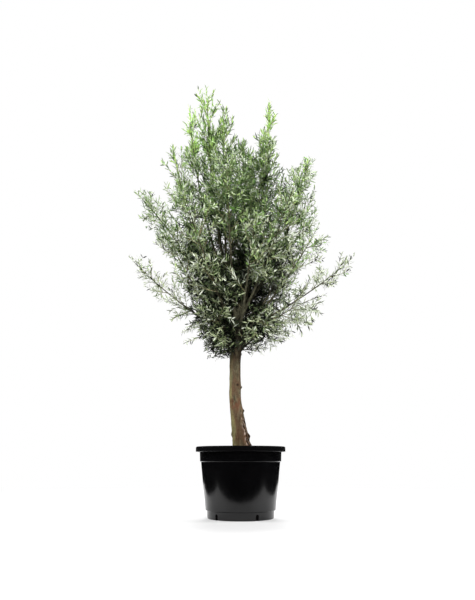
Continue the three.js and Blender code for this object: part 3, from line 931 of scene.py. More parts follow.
def trunk_points(shares):
    """The middle of the trunk: it leans to the left above its foot and comes back at the fork."""
    rise = TRUNK_RISE * shares
    at_foot = np.clip(1 - rise / TRUNK["settle"], 0, None) ** TRUNK["settle_ease"]
    at_fork = smoothstep(shares, TRUNK["straight_to"], 1)
    x = TRUNK["mid_x"] + (TRUNK["foot_x"] - TRUNK["mid_x"]) * at_foot
    x = x + (TRUNK["fork_x"] - TRUNK["mid_x"]) * at_fork
    return np.stack([x, TRUNK["sway"] * np.sin(math.pi * shares), TRUNK["foot"] + rise], axis=-1)


def flare_at(shares):
    """How much of the root flare is left at each share of the trunk's height."""
    return np.exp(-shares * TRUNK_RISE / TRUNK["flare_height"])


def trunk_radius(shares):
    """The trunk's radius without its lobes: the stem, the root flare and a slight swelling at the fork."""
    low = 1 - smoothstep(shares, TRUNK["thins_from"], TRUNK["thins_to"])
    stem = TRUNK["waist_radius"] + (TRUNK["low_radius"] - TRUNK["waist_radius"]) * low
    flare = (TRUNK["foot_radius"] - TRUNK["low_radius"]) * flare_at(shares)
    at_fork = smoothstep(shares, TRUNK["swells_from"], 1)
    return stem + flare + (TRUNK["fork_radius"] - TRUNK["waist_radius"]) * at_fork


def in_band(name, heading, height):
    """How far each place is in one of the upright bands, from 0 to 1."""
    middle, width, fades_from, fades_to = BANDS[name]
    turn = (heading - middle + 180) % 360 - 180
    return np.exp(-((turn / width) ** 2)) * (1 - smoothstep(height, fades_from, fades_to))


def ring_places(line, radius, angles):
    """The points of rings of this radius round the middle line of the trunk."""
    x = line[:, 0:1] + radius * np.cos(angles)
    y = line[:, 1:2] + radius * np.sin(angles)
    return np.stack([x, y, line[:, 2:3] + 0 * angles], axis=-1)


def bark_masks(places, heading, layers, shade_in_cracks_and_dark_bark):
    """How mossy, rusty and pale the bark is at each place; how much painted shade it takes under the crown,
    with darker patches low on the foot; and how much painted shade it takes in its cracks and sunk knots,
    with the dark of raised knots and a flaked edge, from 0 to 1.
    """
    height = places[..., 2]
    fibres, furrows, flakes, grit = [layers[name] for name in ("fibres", "furrows", "flakes", "grit")]
    streak, blush = [noise_at(places, *BARK_NOISE[name]) for name in ("streak", "blush")]
    flank = in_band("flank", heading, height)
    left = np.cos(np.radians(heading - MOSSY_SIDE))
    moss = smoothstep(left + BARK["moss_streak"] * streak, *MASK_FROM["moss"])
    moss = moss * (1 - BARK["moss_off_flank"] * flank)
    rusty = smoothstep(furrows + BARK["rust_flakes"] * flakes, *MASK_FROM["rust"])
    rust = BARK["rust_at_foot"] * (1 - risen(places, "above_foot")) * rusty * np.clip(1 - left, 0, 1)
    near_blush = np.exp(-(((height - BLUSH["height"]) / BLUSH["reach"]) ** 2))
    rust = rust + near_blush * smoothstep(blush, *MASK_FROM["blush"]) + BARK["rust_on_flank"] * flank
    # Painted shade darkens the trunk under the crown; patches low on the foot, away from the mossy side, are
    # darker too.
    low = (1 - risen(places, "above_darker_foot")) * np.clip(BARK["darker_foot_side"] - left, 0, 1)
    crown_shade_and_dark_foot = BARK["shade_under_crown"] * risen(places, "under_crown")
    crown_shade_and_dark_foot = crown_shade_and_dark_foot + BARK["darker_low_foot"] * low * smoothstep(fibres + streak, *MASK_FROM["crown_shade_and_dark_foot"])
    flaky = flakes + BARK["pale_grit"] * grit + BARK["pale_furrows"] * furrows
    peeled = smoothstep(flaky, *MASK_FROM["pale"])
    return {
        "moss": BARK["moss"] * moss,
        "rust": BARK["rust"] * np.clip(rust, 0, 1),
        "crown_shade_and_dark_foot": np.clip(crown_shade_and_dark_foot, 0, 1),
        "pale": BARK["pale"] * peeled * in_band("strip", heading, height),
        "crack": np.clip(shade_in_cracks_and_dark_bark, 0, 1),
    }


def build_trunk():
    """The trunk with the relief of its bark, its cracks and its knots."""
    shares = np.linspace(-TRUNK["sunk"] / TRUNK_RISE, 1, TRUNK["rings"])[:, None]
    angles = (np.arange(TRUNK["sides"]) * 2 * math.pi / TRUNK["sides"])[None]
    line = trunk_points(shares[:, 0])
    lobe = TRUNK["lobe_depth"] * flare_at(shares) * np.cos(TRUNK["lobes"] * angles + TRUNK["lobe_turn"])
    radius = trunk_radius(shares) * (1 + lobe)
    places = ring_places(line, radius, angles)
    heading, height = np.degrees(angles), places[..., 2]
    names = ("fibres", "furrows", "lumps", "flakes", "grit")
    layers = {name: noise_at(places, *BARK_NOISE[name]) for name in names}
    fibres, furrows, lumps, flakes, grit = layers.values()
    at_foot = 1 - risen(places, "above_foot")
    flank = in_band("flank", heading, height)
    split = np.clip(BARK["split_from"] - np.abs(furrows) / BARK["split_width"], 0, 1)
    crack = split * np.clip(flank * BARK["cracks_on_flank"] + at_foot * BARK["cracks_at_foot"], 0, 1)
    radius = radius + RELIEF["lumps"] * lumps + (RELIEF["fibres"] + RELIEF["foot_fibres"] * at_foot) * fibres
    radius = radius + RELIEF["grit"] * grit + flank * (RELIEF["flakes"] * flakes + RELIEF["flank"])
    radius = radius - crack * RELIEF["crack"]
    flaked = smoothstep(flakes + BARK["edge_fibres"] * fibres, *MASK_FROM["flaked_edge"])
    # The grooves of the cracks are painted near-black as shade, and a flaked edge is dark bark.
    shade_in_cracks_and_dark_bark = np.maximum(crack, BARK["edge"] * in_band("edge", heading, height) * flaked)
    for at, way, size, out, tone in KNOTS:
        turn = (heading - way + 180) % 360 - 180
        off = np.hypot(np.radians(turn) * radius, height - at) / size
        shape = np.exp(-(off**2))
        radius = radius + out * shape
        shade_in_cracks_and_dark_bark = np.maximum(shade_in_cracks_and_dark_bark, tone * np.clip(BARK["knot_edge"] * shape - (BARK["knot_edge"] - 1), 0, 1))
    places = ring_places(line, radius, angles)
    faces = tube_faces(1, TRUNK["rings"], TRUNK["sides"])
    trunk = make_piece("trunk_bark", places.reshape(-1, 3), faces, [trunk_look()])
    add_masks(trunk, bark_masks(places, heading, layers, shade_in_cracks_and_dark_bark))
    finish_piece(trunk, ["trunk"])


# Limbs. A curve is p(t) = start + along t + bend t², for t from 0 to 1.
def curve_points(start, along, bend, t):
    return start + along * t + bend * t * t


def curve_ways(along, bend, t):
    return unit(along + 2 * bend * t)


def on_limb(limb, t):
    """Points at these shares of a limb."""
    return curve_points(limb["start"], limb["along"], limb["bend"], np.asarray(t)[..., None])


def build_limbs():
    limbs = {}
    for name, tier, parent, at, heading, reach, top, spread, root in LIMB_ROWS:
        rule = TIERS[tier]
        start = trunk_points(np.array([at]))[0] if parent == "trunk" else on_limb(limbs[parent], at)
        way = math.radians(heading)
        tip = np.array([reach * math.cos(way), reach * math.sin(way), top])
        elbow = lerp(start, tip, rule["out"])
        elbow[2] = lerp(start[2], tip[2], rule["rise"]) + rule["lift"]
        limb = dict(rule, name=name, tier=tier, heading=way, start=start, tip=tip, spread=spread, root=root)
        limb["along"] = 2 * (elbow - start)
        limb["bend"] = start - 2 * elbow + tip
        stretches = {"axis": (rule["bare"], 1, AXIS_STEPS), "bough": (0, rule["bare"], BOUGH_STEPS)}
        for key, (low, high, steps) in stretches.items():
            limb[key] = on_limb(limb, np.linspace(low, high, steps + 1))
        limb["axis_length"] = np.linalg.norm(np.diff(limb["axis"], axis=0), axis=1).sum()
        limb["whole"] = limb["axis_length"] / (1 - rule["bare"])
        limbs[name] = limb
    return list(limbs.values())


LIMBS = build_limbs()
AXES = np.array([limb["axis"] for limb in LIMBS])
BOUGHS = np.array([limb["bough"] for limb in LIMBS])
SPREADS = np.array([limb["spread"] for limb in LIMBS], float)
ROOTS = np.array([limb["root"] for limb in LIMBS], float)
TURNS = np.array([limb["turn"] for limb in LIMBS], float)
LEANS = np.array([limb["lean"] for limb in LIMBS], float)
THIN = np.array([THINNER.get(limb["name"], 0) for limb in LIMBS], float)


def nearest_on(points, lines):
    """How far each point is from each line, and at what share of that line the nearest place is."""
    starts = lines[:, :-1]
    spans = lines[:, 1:] - starts
    squares = (spans**2).sum(-1)
    distances, shares = [], []
    for part in np.array_split(points, max(1, len(points) // CHUNK)):
        reach = part[:, None, None] - starts
        along = np.clip((reach * spans).sum(-1) / squares, 0, 1)
        off = ((reach - along[..., None] * spans) ** 2).sum(-1)
        best = off.argmin(-1)[..., None]
        distances.append(np.sqrt(np.take_along_axis(off, best, -1))[..., 0])
        shares.append((best[..., 0] + np.take_along_axis(along, best, -1)[..., 0]) / spans.shape[1])
    return np.concatenate(distances), np.concatenate(shares)


def plume_width(spread, share):
    """Half the width of a limb's space at each share of its leafy part."""
    opening = lerp(PLUME["foot_width"], 1, smoothstep(share, 0, PLUME["opens_by"]))
    return spread * (opening * np.sqrt(1 - share ** PLUME["taper"]) + PLUME["tip_width"])


def in_space(points, owners, spill=0.0):
    """Whether each point lies in its limb's plume and not far into a place that is nearer to another limb."""
    distances, shares = nearest_on(points, AXES)
    rows = np.arange(len(points))
    own = distances[rows, owners]
    width = plume_width(SPREADS[owners], shares[rows, owners])
    distances[rows, owners] = np.inf
    boxed = ((points > BOX_LOW) & (points < BOX_HIGH)).all(1)
    return boxed & (own <= width + spill) & (distances.min(1) >= own - MIX)


def near_bough(points, owners):
    """Whether each point is in the room round its limb's bare bough, which inner shoots fill."""
    distances, _ = nearest_on(points, BOUGHS)
    near = distances[np.arange(len(points)), owners] <= INNER["width"]
    return near & (points[:, 2] > INNER["lowest"])


def fits(points, owners, inner, spill=0.0):
    """Whether each point is in its limb's space, or for inner shoots in the room round its bough."""
    within = in_space(points, owners, spill)
    return within | near_bough(points, owners) if inner else within


def behind_any(points, places):
    """Whether each point is seen from the front in one of these places."""
    behind = np.zeros(len(points), bool)
    level = points[:, 2] - HOLLOW_DEPTH["rise"] * (points[:, 1] - HOLLOW_DEPTH["front"])
    for x, z, across, up, *_ in places:
        behind |= ((points[:, 0] - x) / across) ** 2 + ((level - z) / up) ** 2 < 1
    return behind


def in_hollow(points):
    """Whether each point is in a hollow, in front of its back."""
    return behind_any(points, HOLLOWS) & (points[:, 1] < HOLLOW_DEPTH["back"])


def leaf_height(points):
    """The height of each point, less what the lowest leaves are lifted by at the right."""
    return points[:, 2] - LEAF["right_lift"] * smoothstep(points[:, 0], *LEAF["lifted_from"])


def leafy_place(points):
    """Whether a twig may end at each point: not in a hollow, nor under the lowest leaves."""
    return ~in_hollow(points) & (leaf_height(points) > LEAF["none_below"] + LEAF["lowest_end"])


def clear_of_limbs(points, margin):
    """Whether each point is clear of the trunk and of every bough."""
    share = np.clip(trunk_share(points[:, 2]), 0, 1)
    off_trunk = np.linalg.norm(points - trunk_points(share), axis=1)
    clear = off_trunk > trunk_radius(share) * (1 + TRUNK["lobe_depth"]) + margin
    distances, shares = nearest_on(points, BOUGHS)
    thick = ROOTS * (1 - (1 - BOUGH["tip_share"]) * shares)
    return clear & (distances > thick + margin).all(1)


def room_for(starts, ways, owners, longest, step, inner=False):
    """How far each line may run before it leaves its space or meets a limb."""
    runs = np.arange(1, int(longest / step) + 1) * step
    points = (starts[:, None] + ways[:, None] * runs[None, :, None]).reshape(-1, 3)
    free = fits(points, np.repeat(owners, len(runs)), inner)
    clear = clear_of_limbs(points, BOUGH_GAP).reshape(-1, len(runs))
    clear[:, : TWIG["free_steps"]] = True
    good = free.reshape(-1, len(runs)) & clear
    return np.where(good.all(1), longest, np.argmin(good, axis=1) * step)


def outness(points, widths=CROWN_WIDTHS):
    """How far out of the crown's middle each point is, 1 being at the outside of these widths."""
    return np.hypot(points[:, 0] - TRUNK["fork_x"], points[:, 1]) / by_height(points, widths)


def upright(points):
    """How far shoots and leaves lean, as a share of what they do low down: they stand up at the top."""
    return 1 - UPRIGHT_SHARE * risen(points, "upright")


def has_leaves(ends, owner, inner):
    """Whether each shoot grows. Patches of the outside stay open, and the shaded inside is fuller."""
    patches = noise_at(ends, SHOOT["clump"])
    if inner:
        outside = smoothstep(outness(ends, CORE_WIDTHS), *OUTSIDE)
        return patches > INNER["thin_below"] + (INNER["thin_outside"] + np.maximum(THIN[owner], 0)) * outside
    airy = smoothstep(outness(ends), *OUTSIDE) * (1 - risen(ends, "fuller"))
    airy *= (SPREADS[owner] >= INNER["core_spread"]) * lerp(SHOOT["thin_low"], 1, risen(ends, "tighter"))
    return patches > SHOOT["thin_below"] + SHOOT["thin_outside"] * airy + THIN[owner]


def leaned(ways, lean, azimuth):
    """Each way leant over by an angle, towards an azimuth round it."""
    side = square_to(ways)
    up = np.cross(side, ways)
    flat = side * np.cos(azimuth)[:, None] + up * np.sin(azimuth)[:, None]
    return ways * np.cos(lean)[:, None] + flat * np.sin(lean)[:, None]


class Shoots:
    """Many shoots at once: the curve of each, its length, its limb, and its radii at the foot and the tip."""

    def __init__(self, start, along, bend, length, owner, radius=None, tip_radius=None, inner=False):
        self.start = start
        self.along = along
        self.bend = bend
        self.length = length
        self.owner = owner
        self.radius = radius
        self.tip_radius = tip_radius
        self.inner = inner

    def paths(self, rings):
        t = np.linspace(0, 1, rings)[None, :, None]
        return curve_points(self.start[:, None], self.along[:, None], self.bend[:, None], t)

    def radii(self, rings):
        t = np.linspace(0, 1, rings)[None]
        return lerp(self.radius[:, None], self.tip_radius, t)

    def places(self, which, t):
        return curve_points(self.start[which], self.along[which], self.bend[which], t[:, None])

    def ways(self, which, t):
        return curve_ways(self.along[which], self.bend[which], t[:, None])


def grown(rule, start, way, owner, length, kept, random, inner=False):
    """The shoots that are kept, each bent up and a little to one side."""
    start, way, owner, length = start[kept], way[kept], owner[kept], length[kept]
    side = random.normal(size=start.shape)
    rise = UP * (rule["bow"] * (1 + TURN_BOW * TURNS[owner]) * length)[:, None]
    bend = rise + side * (rule["waver"] * length)[:, None]
    radius = rule["thick_foot"] + rule["thick_per_length"] * length
    return Shoots(start, way * length[:, None], bend, length, owner, radius, rule["tip_radius"], inner)


def grow_twigs(random):
    """The source's twigs, drawn in its own order, and finer ones between them."""
    start, way, owner, part = [], [], [], []
    for number, limb in enumerate(LIMBS):
        draw = seeded(FIRST_SEED + SEED_STEP * number)
        end = 1 - TWIG["source_leaf_room"] / limb["axis_length"]
        count = round(limb["axis_length"] * end / limb["twigs"])
        rows = []
        for k in range(count):
            share = TWIG["first"] + TWIG["range"] * (k + 0.5) / count
            azimuth = limb["heading"] + k * GOLDEN_ANGLE + TWIG["turn_spread"] * next(draw)
            rows.append((share * end, azimuth, next(draw), 1))
        fine, lead = round(limb["axis_length"] / TWIG["fine_every"]), TWIG["fine_lead"]
        for k in range(fine):
            azimuth = limb["heading"] + TWIG["fine_turn"] + k * GOLDEN_ANGLE
            azimuth += TWIG["turn_spread"] * random.random()
            reach = lerp(TWIG["least_reach"], 1, random.random() ** TWIG["reach_power"])
            rows.append(((k + lead) / (fine + lead), azimuth, random.random(), reach))
        share, azimuth, spread, reach = np.array(rows).T
        t = lerp(limb["bare"], 1, share)
        lean = lerp(TWIG["lean_foot"], TWIG["lean_tip"], share) + TWIG["lean_spread"] * (spread - 0.5)
        start.append(on_limb(limb, t))
        straight = curve_ways(limb["along"], limb["bend"], t[:, None])
        way.append(unit(leaned(straight, lean, azimuth) + UP * limb["turn"]))
        owner.append(np.full(len(rows), number))
        part.append(reach)
    start, way, owner, part = [np.concatenate(rows) for rows in (start, way, owner, part)]
    room = room_for(start, way, owner, TWIG["longest"], TWIG["march_step"])
    length = room * part - TWIG["leaf_room"]
    ends = start + way * length[:, None]
    kept = (length >= TWIG["shortest"]) & leafy_place(ends)
    kept &= ~in_hollow(start + way * length[:, None] * TWIG["part_way"])
    return grown(TWIG, start, way, owner, length, kept, random)


def pairs_along(wanted):
    """Pairs spread over shoots: the shoot of each pair, its rank there, and how many each shoot has."""
    counts = np.maximum(1, np.round(wanted).astype(int))
    which = np.repeat(np.arange(len(counts)), counts)
    rank = np.arange(len(which)) - np.repeat(np.cumsum(counts) - counts, counts)
    return which, rank, counts


def grow_shoots(twigs, random):
    """Opposite pairs of shoots along each twig, each pair turned a quarter on from the last."""
    which, rank, counts = pairs_along(twigs.length / SHOOT["every"])
    along = (rank + 0.5 + random.uniform(-SHOOT["uneven"], SHOOT["uneven"], len(rank))) / counts[which]
    spin = random.uniform(0, math.pi, len(counts))[which] + rank * math.pi / 2
    spin += random.normal(0, SHOOT["spin_loose"], len(rank))
    which, t, spin = [np.repeat(row, 2) for row in (which, lerp(SHOOT["first"], SHOOT["last"], along), spin)]
    spin[1::2] += math.pi
    start, straight, owner = twigs.places(which, t), twigs.ways(which, t), twigs.owner[which]
    lean = SHOOT["lean"] * LEANS[owner] / TIERS["side"]["lean"] * upright(start)
    lean += random.normal(0, SHOOT["lean_loose"], len(t))
    way = unit(leaned(straight, lean, spin) + UP * (TURNS[owner] * SHOOT["turn_share"])[:, None])
    step = SHOOT["march_step"]
    room = room_for(start, way, owner, SHOOT["longest"] + step, step, twigs.inner)
    wanted = SHOOT["longest"] * (1 - SHOOT["shrink"] * t) * random.uniform(SHOOT["least_share"], 1, len(t))
    length = np.minimum(room - TWIG["leaf_room"], wanted)
    ends = start + way * length[:, None]
    kept = (length >= SHOOT["shortest"]) & has_leaves(ends, owner, twigs.inner)
    kept &= leafy_place(ends) & ~in_hollow(start)
    return grown(SHOOT, start, way, owner, length, kept, random, twigs.inner)


def inner_shares(limb, random):
    """Where inner twigs leave a limb: along its bare bough, and in the core of its mass if that is wide."""
    stretches = [(limb["bare"] * INNER["from"], limb["bare"], INNER["every"])]
    if limb["spread"] >= INNER["core_spread"]:
        stretches.append((limb["bare"], INNER["core_to"], INNER["core_every"]))
    shares = []
    for low, high, every in stretches:
        many = max(2, round(limb["whole"] * (high - low) / every))
        shares.append(lerp(low, high, (np.arange(many) + random.random(many)) / many))
    return np.concatenate(shares)


def grow_inner(random):
    """Short twigs in the shade, on the limbs and as sprouts round the top of the trunk."""
    start, way, owner = [], [], []
    for number, limb in enumerate(LIMBS):
        t = inner_shares(limb, random)
        azimuth = limb["heading"] + np.arange(len(t)) * GOLDEN_ANGLE + random.random(len(t))
        lean = INNER["lean"] + random.normal(0, INNER["lean_loose"], len(t))
        start.append(on_limb(limb, t))
        way.append(leaned(curve_ways(limb["along"], limb["bend"], t[:, None]), lean, azimuth))
        owner.append(np.full(len(t), number))
    height = np.linspace(SPROUTS["lowest"], TRUNK["fork"] - SPROUTS["below_fork"], SPROUTS["count"])
    azimuth = np.arange(SPROUTS["count"]) * GOLDEN_ANGLE
    skirt = np.array(limbs_of("skirt"))
    headings = np.array([LIMBS[number]["heading"] for number in skirt])
    facing = np.stack([np.cos(azimuth), np.sin(azimuth), 0 * azimuth], axis=-1)
    start.append(trunk_points(trunk_share(height)))
    way.append(unit(facing + UP * random.uniform(*SPROUTS["rise"], len(height))[:, None]))
    owner.append(skirt[np.cos(azimuth[:, None] - headings).argmax(1)])
    start, way, owner = [np.concatenate(rows) for rows in (start, way, owner)]
    room = room_for(start, way, owner, INNER["longest"], TWIG["march_step"], inner=True)
    wanted = random.uniform(INNER["shortest"], INNER["longest"], len(start))
    length = np.minimum(room - TWIG["leaf_room"], wanted)
    ends = start + way * length[:, None]
    kept = (length >= TWIG["shortest"]) & has_leaves(ends, owner, inner=True) & leafy_place(ends)
    return grown(TWIG, start, way, owner, length, kept, random, inner=True)


def limbs_as_shoots():
    """Each limb as a shoot, so that leaves can grow on its last part."""
    start, along, bend, length = [
        np.array([limb[key] for limb in LIMBS]) for key in ("start", "along", "bend", "whole")
    ]
    return Shoots(start, along, bend, length, np.arange(len(LIMBS)))


def leaves_on(shoots, first, last, random):
    """Opposite pairs of leaves along each shoot, from one share of it to another, as arrays for each hand."""
    which, rank, counts = pairs_along(shoots.length * (last - first) / LEAF["every"])
    t = lerp(first, last, (rank + LEAF["lead"]) / (counts[which] - LEAF["tail"]))
    spin = random.uniform(0, math.pi, len(counts))[which] + rank * math.pi / 2
    size = random.uniform(*LEAF["pair_sizes"], len(counts))[which]
    fresh_and_lit, family = spray_tones(shoots, random)
    mottle = LEAF["inner_mottle"] if shoots.inner else LEAF["mottle"]
    owner = shoots.owner[which]
    root, straight = shoots.places(which, t), shoots.ways(which, t)
    turned_up = UP * (LEAF["turn_share"] * TURNS[owner])[:, None]
    parts = []
    for hand in (0, math.pi):
        tint = tint_of(fresh_and_lit[which] + random.normal(0, mottle, len(t)), family[which])
        lean = lerp(LEAF["lean_foot"], LEAF["lean_tip"], t) * upright(root)
        lean += random.normal(0, LEAF["lean_loose"], len(t))
        azimuth = spin + hand + random.normal(0, LEAF["spin_loose"], len(t))
        way = unit(leaned(straight, lean, azimuth) + turned_up)
        front = straight + UP * LEAF["up_share"] + random.normal(0, LEAF["loose"], root.shape)
        front = unit(front - (front * way).sum(-1, keepdims=True) * way)
        length = LEAF["length"] * size * random.uniform(*LEAF["lengths"], len(t))
        length *= 1 - LEAF["tip_shrink"] * smoothstep(t, LEAF["tip_from"], 1)
        length *= 1 + LEAF["top_growth"] * risen(root, "longer")
        width = LEAF["width"] * size * random.uniform(*LEAF["widths"], len(t))
        reach = way * length[:, None]
        kept = fits(root + reach, owner, shoots.inner, LEAF["spill"])
        kept &= clear_of_limbs(root + reach / 2, 0) & ~in_hollow(root)
        share = smoothstep(leaf_height(root), LEAF["none_below"], LEAF["thin_from"])
        kept &= random.random(len(t)) < share
        parts.append([row[kept] for row in (root, way, front, length, width, tint, owner)])
    return parts


def spray_tones(shoots, random):
    """How fresh and lit each spray is, 0 in painted shade and 1 at its freshest, in painted light, and which
    family of tints it takes.
    """
    ends = shoots.start + shoots.along + shoots.bend
    loose = random.normal(SPRAY["middle"], SPRAY["loose"], len(ends))
    if shoots.inner:
        # The inner sprays take painted shade, less of it at the top and at the edge of the core.
        fresh_and_lit = random.uniform(*SPRAY["inner"], len(ends))
        fresh_and_lit += SPRAY["inner_top"] * risen(ends, "less_shade_inside")
        fresh_and_lit += SPRAY["inner_edge"] * smoothstep(outness(ends, CORE_WIDTHS), *SPRAY["edge"])
    else:
        cloud = noise_at(ends, SPRAY["cloud"], SPRAY["cloud_shift"])
        # Paler towards the outside of the crown: painted light on the outer sprays and painted shade within.
        fresh_and_lit = SPRAY["out"] * np.clip(outness(ends), 0, SPRAY["out_to"]) + SPRAY["cloud_share"] * cloud
        # The height table makes the top paler, as new growth and painted light.
        fresh_and_lit += loose + by_height(ends, FRESH_AND_LIT_BY_HEIGHT)
    # Sprays behind the hollows take painted shade.
    fresh_and_lit[behind_any(ends, HOLLOWS)] += SPRAY["hollow_shade"]
    # Painted shade and painted light in the given places.
    for place in PAINTED_SHADE_AND_LIGHT:
        fresh_and_lit[behind_any(ends, [place])] += place[-1]
    middle = SPRAY["middle_share"] * risen(ends, "middle_tints")
    family = (random.random(len(ends)) < middle).astype(int)
    family[random.random(len(ends)) < risen(ends, "high_tints")] = 2
    return fresh_and_lit, family


def tint_of(fresh_and_lit, family):
    """The number of each leaf's tint, from the darkest, in painted shade, to the freshest and most lit one of
    its family.
    """
    names = list(LEAF_TINTS)
    table = np.array([[names.index(name) for name in tints] for tints in TINT_FAMILIES])
    return table[family, np.clip((fresh_and_lit * table.shape[1]).astype(int), 0, table.shape[1] - 1)]


# A leaf has two stations between its base and its tip: how far along it they are, and half its width there,
# as shares. Its triangles join the base (0), the first station (1, 3), the ridge (2), the second station
# (4, 5) and the tip.
LEAF_STATIONS = ((0.3, 0.42), (0.66, 0.4))
LEAF_UPPER = [(0, 3, 2), (0, 2, 1), (3, 5, 2), (2, 4, 1), (5, 6, 2), (2, 6, 4)]
LEAF_LOWER = [(0, 1, 3), (1, 4, 5), (1, 5, 3), (4, 6, 5)]


def leaf_solids(root, way, front, length, width, arch):
    """Closed leaves of ten triangles: a ridged upper side and a flat underside, arched from base to tip."""
    across = np.cross(front, way)

    def at(share, out, lift):
        bow = -arch * length * share**2 + lift
        foot = root + way * (length * share - LEAF["sink"])[:, None]
        return foot + across * out[:, None] + front * bow[:, None]

    none = np.zeros(len(root))
    (low, low_half), (high, high_half) = LEAF_STATIONS
    points = [at(0, none, 0), at(low, width * low_half, 0), at((low + high) / 2, none, LEAF["ridge"])]
    points += [at(low, -width * low_half, 0), at(high, width * high_half, 0), at(high, -width * high_half, 0)]
    points.append(at(1, none, 0))
    shape = np.array(LEAF_UPPER + LEAF_LOWER)
    faces = shape[None] + (np.arange(len(root)) * len(points))[:, None, None]
    return np.stack(points, axis=1).reshape(-1, 3), faces.reshape(-1, 3)


def limbs_of(*tiers, front=None):
    """The numbers of the limbs of some tiers, if asked only of those that end in the front or in the back."""
    chosen = []
    for number, limb in enumerate(LIMBS):
        if limb["tier"] in tiers and (front is None or (limb["tip"][1] < 0) == front):
            chosen.append(number)
    return chosen


# Which limbs share a piece, so that each piece stays small enough.
MASSES = {
    "leaders": limbs_of("leader"),
    "shoulders": limbs_of("shoulder"),
    "sides_front": limbs_of("side", "arch", front=True),
    "sides_back": limbs_of("side", "arch", front=False),
    "skirt_front": limbs_of("skirt", front=True),
    "skirt_back": limbs_of("skirt", front=False),
}


def end_of(limb):
    """The share of its length at which a limb ends: near its tip, or before a hollow that it would cross."""
    t = np.linspace(0, 1 - BOUGH["tip_gap"] / limb["whole"], BOUGH["rings"])
    outside = ~in_hollow(on_limb(limb, t))
    return max(t[np.flatnonzero(outside)[-1]], limb["bare"] + BOUGH["least_leafy"])


def build_limb_bark():
    """Each limb as one tapering tube from its parent to its tip, with a collar where it leaves."""
    paths, radii = [], []
    for limb in LIMBS:
        end = end_of(limb)
        t = np.linspace(0, end, BOUGH["rings"])
        bough = limb["root"] * (1 - (1 - BOUGH["tip_share"]) * np.minimum(t / limb["bare"], 1))
        thin = np.clip((t - limb["bare"]) / (end - limb["bare"]), 0, 1)
        collar = 1 + BOUGH["collar"] * np.exp(-t * limb["whole"] / BOUGH["collar_run"])
        paths.append(on_limb(limb, t))
        radii.append(lerp(bough, BOUGH["tip_radius"], thin ** BOUGH["taper"]) * collar)
    paths = np.array(paths)
    points, faces = tubes(paths, np.array(radii), BOUGH["sides"])
    shape = points.reshape(len(LIMBS), BOUGH["rings"], BOUGH["sides"], 3)
    relief = sum(share * noise_at(shape, size) for size, share in BOUGH["relief"])
    shape += (shape - paths[:, :, None]) * relief[..., None]
    boughs = make_piece("boughs_bark", shape.reshape(-1, 3), faces, [bough_look()])
    finish_piece(boughs, [f"bough_{limb['name']}" for limb in LIMBS])


def leaf_looks():
    """The upper side and the underside of each tint."""
    looks = []
    for name, colours in LEAF_TINTS.items():
        for (side, finish), colour in zip(LEAF_SIDES.items(), colours):
            looks.append(plain_look(f"leaf_{name}{side}", colour, *finish))
    return looks


def build_crown():
    random = np.random.default_rng(FIRST_SEED)
    twigs = grow_twigs(random)
    shoots = grow_shoots(twigs, random)
    inner_twigs = grow_inner(random)
    inner_shoots = grow_shoots(inner_twigs, random)
    leaves = leaves_on(inner_twigs, *LEAFY["inner_twigs"], random)
    leaves += leaves_on(inner_shoots, *LEAFY["shoots"], random)
    leaves += leaves_on(twigs, *LEAFY["twigs"], random)
    leaves += leaves_on(shoots, *LEAFY["shoots"], random)
    leaves += leaves_on(limbs_as_shoots(), *LEAFY["limbs"], random)
    root, way, front, length, width, tint, owner = [np.concatenate(rows) for rows in zip(*leaves)]
    arch = random.uniform(LEAF["least_arch"], 1, len(root)) * LEAF["arch"]
    sets = [(twigs, TWIG["rings"], 0), (shoots, SHOOT["rings"], 1)]
    sets += [(inner_twigs, TWIG["rings"], 2), (inner_shoots, SHOOT["rings"], 2)]
    wood = [plain_look(name, *values) for name, values in WOOD.items()]
    looks = leaf_looks()
    side_of_face = np.array([0] * len(LEAF_UPPER) + [1] * len(LEAF_LOWER))
    for name, members in MASSES.items():
        nodes = [f"foliage_{LIMBS[number]['name']}" for number in members]
        points, faces, kinds = [], [], []
        for kind, rings, look in sets:
            mine = np.isin(kind.owner, members)
            made, made_faces = tubes(kind.paths(rings)[mine], kind.radii(rings)[mine], TWIG["sides"])
            faces.append(made_faces + sum(len(part) for part in points))
            points.append(made)
            kinds.append(np.full(len(made_faces), look))
        points, faces, kinds = [np.concatenate(part) for part in (points, faces, kinds)]
        sticks = make_piece(f"twigs_{name}", points, faces, wood, kinds)
        finish_piece(sticks, nodes)
        mine = np.isin(owner, members)
        points, faces = leaf_solids(root[mine], way[mine], front[mine], length[mine], width[mine], arch[mine])
        kinds = (tint[mine][:, None] * 2 + side_of_face[None]).ravel()
        made = make_piece(f"leaves_{name}", points, faces, looks, kinds, smooth=False)
        finish_piece(made, nodes)


# Floor, light and camera.
def build_floor():
    turns = [2 * math.pi * i / FLOOR["sides"] for i in range(FLOOR["sides"])]
    rim = [(FLOOR["radius"] * math.cos(a), FLOOR["radius"] * math.sin(a), 0) for a in turns]
    floor = plain_mesh("floor", rim, [range(FLOOR["sides"])])
    paper = Look("floor_paper", roughness=0.9, specular=0.1)
    reach = paper.node("ShaderNodeVectorMath", operation="LENGTH")
    paper.link(paper.place(), reach.inputs[0])
    away = paper.span(reach.outputs["Value"], FLOOR["fades_from"], FLOOR["fades_to"])
    paper.paint(paper.mix(away, linear((FLOOR["tone"],) * 3), linear((0, 0, 0))))
    paper.shader.inputs["Emission Color"].default_value = (1, 1, 1, 1)
    rays = paper.node("ShaderNodeLightPath").outputs
    seen = paper.combine("ADD", rays["Is Camera Ray"], rays["Is Glossy Ray"])
    glow = paper.combine("MULTIPLY", seen, paper.span(away, low=0, high=1, to_low=FLOOR["glow"]))
    paper.link(glow, paper.shader.inputs["Emission Strength"])
    floor.data.materials.append(paper.material)


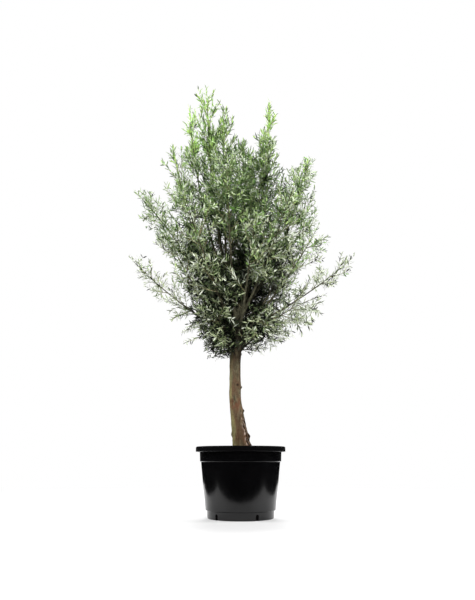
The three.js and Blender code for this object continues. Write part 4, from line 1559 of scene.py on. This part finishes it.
def build_flag():
    """A black ring low round the pot that only gloss sees, as the dark of the studio past the lit floor."""
    points, faces = [], []
    for i in range(FLAG["sides"]):
        heading = 360 * i / FLAG["sides"]
        near = np.interp(min(heading, 360 - heading), list(MIRRORED_FLOOR), list(MIRRORED_FLOOR.values()))
        x, y = math.sin(math.radians(heading)), -math.cos(math.radians(heading))
        points += [(x * reach, y * reach, FLAG["height"]) for reach in (near, FLAG["radius"])]
        ahead = 2 * ((i + 1) % FLAG["sides"])
        faces.append((2 * i, 2 * i + 1, ahead + 1, ahead))
    flag = plain_mesh("black_flag", points, faces)
    cloth = plain_look("flag_cloth", (FLAG["tone"],) * 3, roughness=1.0, specular=0.0)
    flag.data.materials.append(cloth)
    flag.visible_camera = False
    flag.visible_diffuse = False
    flag.visible_shadow = False
    flag.visible_transmission = False


def build_light():
    world = bpy.data.worlds.new("studio")
    bpy.context.scene.world = world
    world.use_nodes = True
    nodes, links = world.node_tree.nodes, world.node_tree.links
    back = nodes["Background"]
    back.inputs["Color"].default_value = (1, 1, 1, 1)
    rays = nodes.new("ShaderNodeLightPath")
    strength = WORLD["light"]
    for ray, value in (("Is Glossy Ray", WORLD["shine"]), ("Is Camera Ray", WORLD["seen"])):
        mix = nodes.new("ShaderNodeMix")
        links.new(rays.outputs[ray], mix.inputs[0])
        if isinstance(strength, float):
            mix.inputs[2].default_value = strength
        else:
            links.new(strength, mix.inputs[2])
        mix.inputs[3].default_value = value
        strength = mix.outputs[0]
    links.new(strength, back.inputs["Strength"])
    for name, (place, aim, size, spread, power, mirrored) in LAMPS.items():
        light = bpy.data.lights.new(name, "AREA")
        light.shape = "DISK"
        light.size = size
        light.energy = power
        light.spread = math.radians(spread)
        lamp = placed(name, light)
        lamp.location = place
        lamp.visible_glossy = mirrored
        lamp.rotation_euler = (Vector(aim) - Vector(place)).to_track_quat("-Z", "Y").to_euler()


def build_camera():
    data = bpy.data.cameras.new("camera")
    data.lens = CAMERA["lens"]
    data.sensor_width = CAMERA["sensor"]
    data.shift_y = CAMERA["shift_y"]
    camera = placed("camera", data)
    camera.location = (CAMERA["x"], CAMERA["y"], CAMERA["z"])
    camera.rotation_euler = (math.radians(90 + CAMERA["pitch"]), 0, 0)
    bpy.context.scene.camera = camera


build_camera()
build_light()
build_floor()
build_flag()
build_pot()
build_soil()
build_trunk()
build_limb_bark()
build_crown()
bpy.context.scene.view_settings.view_transform = "Standard"
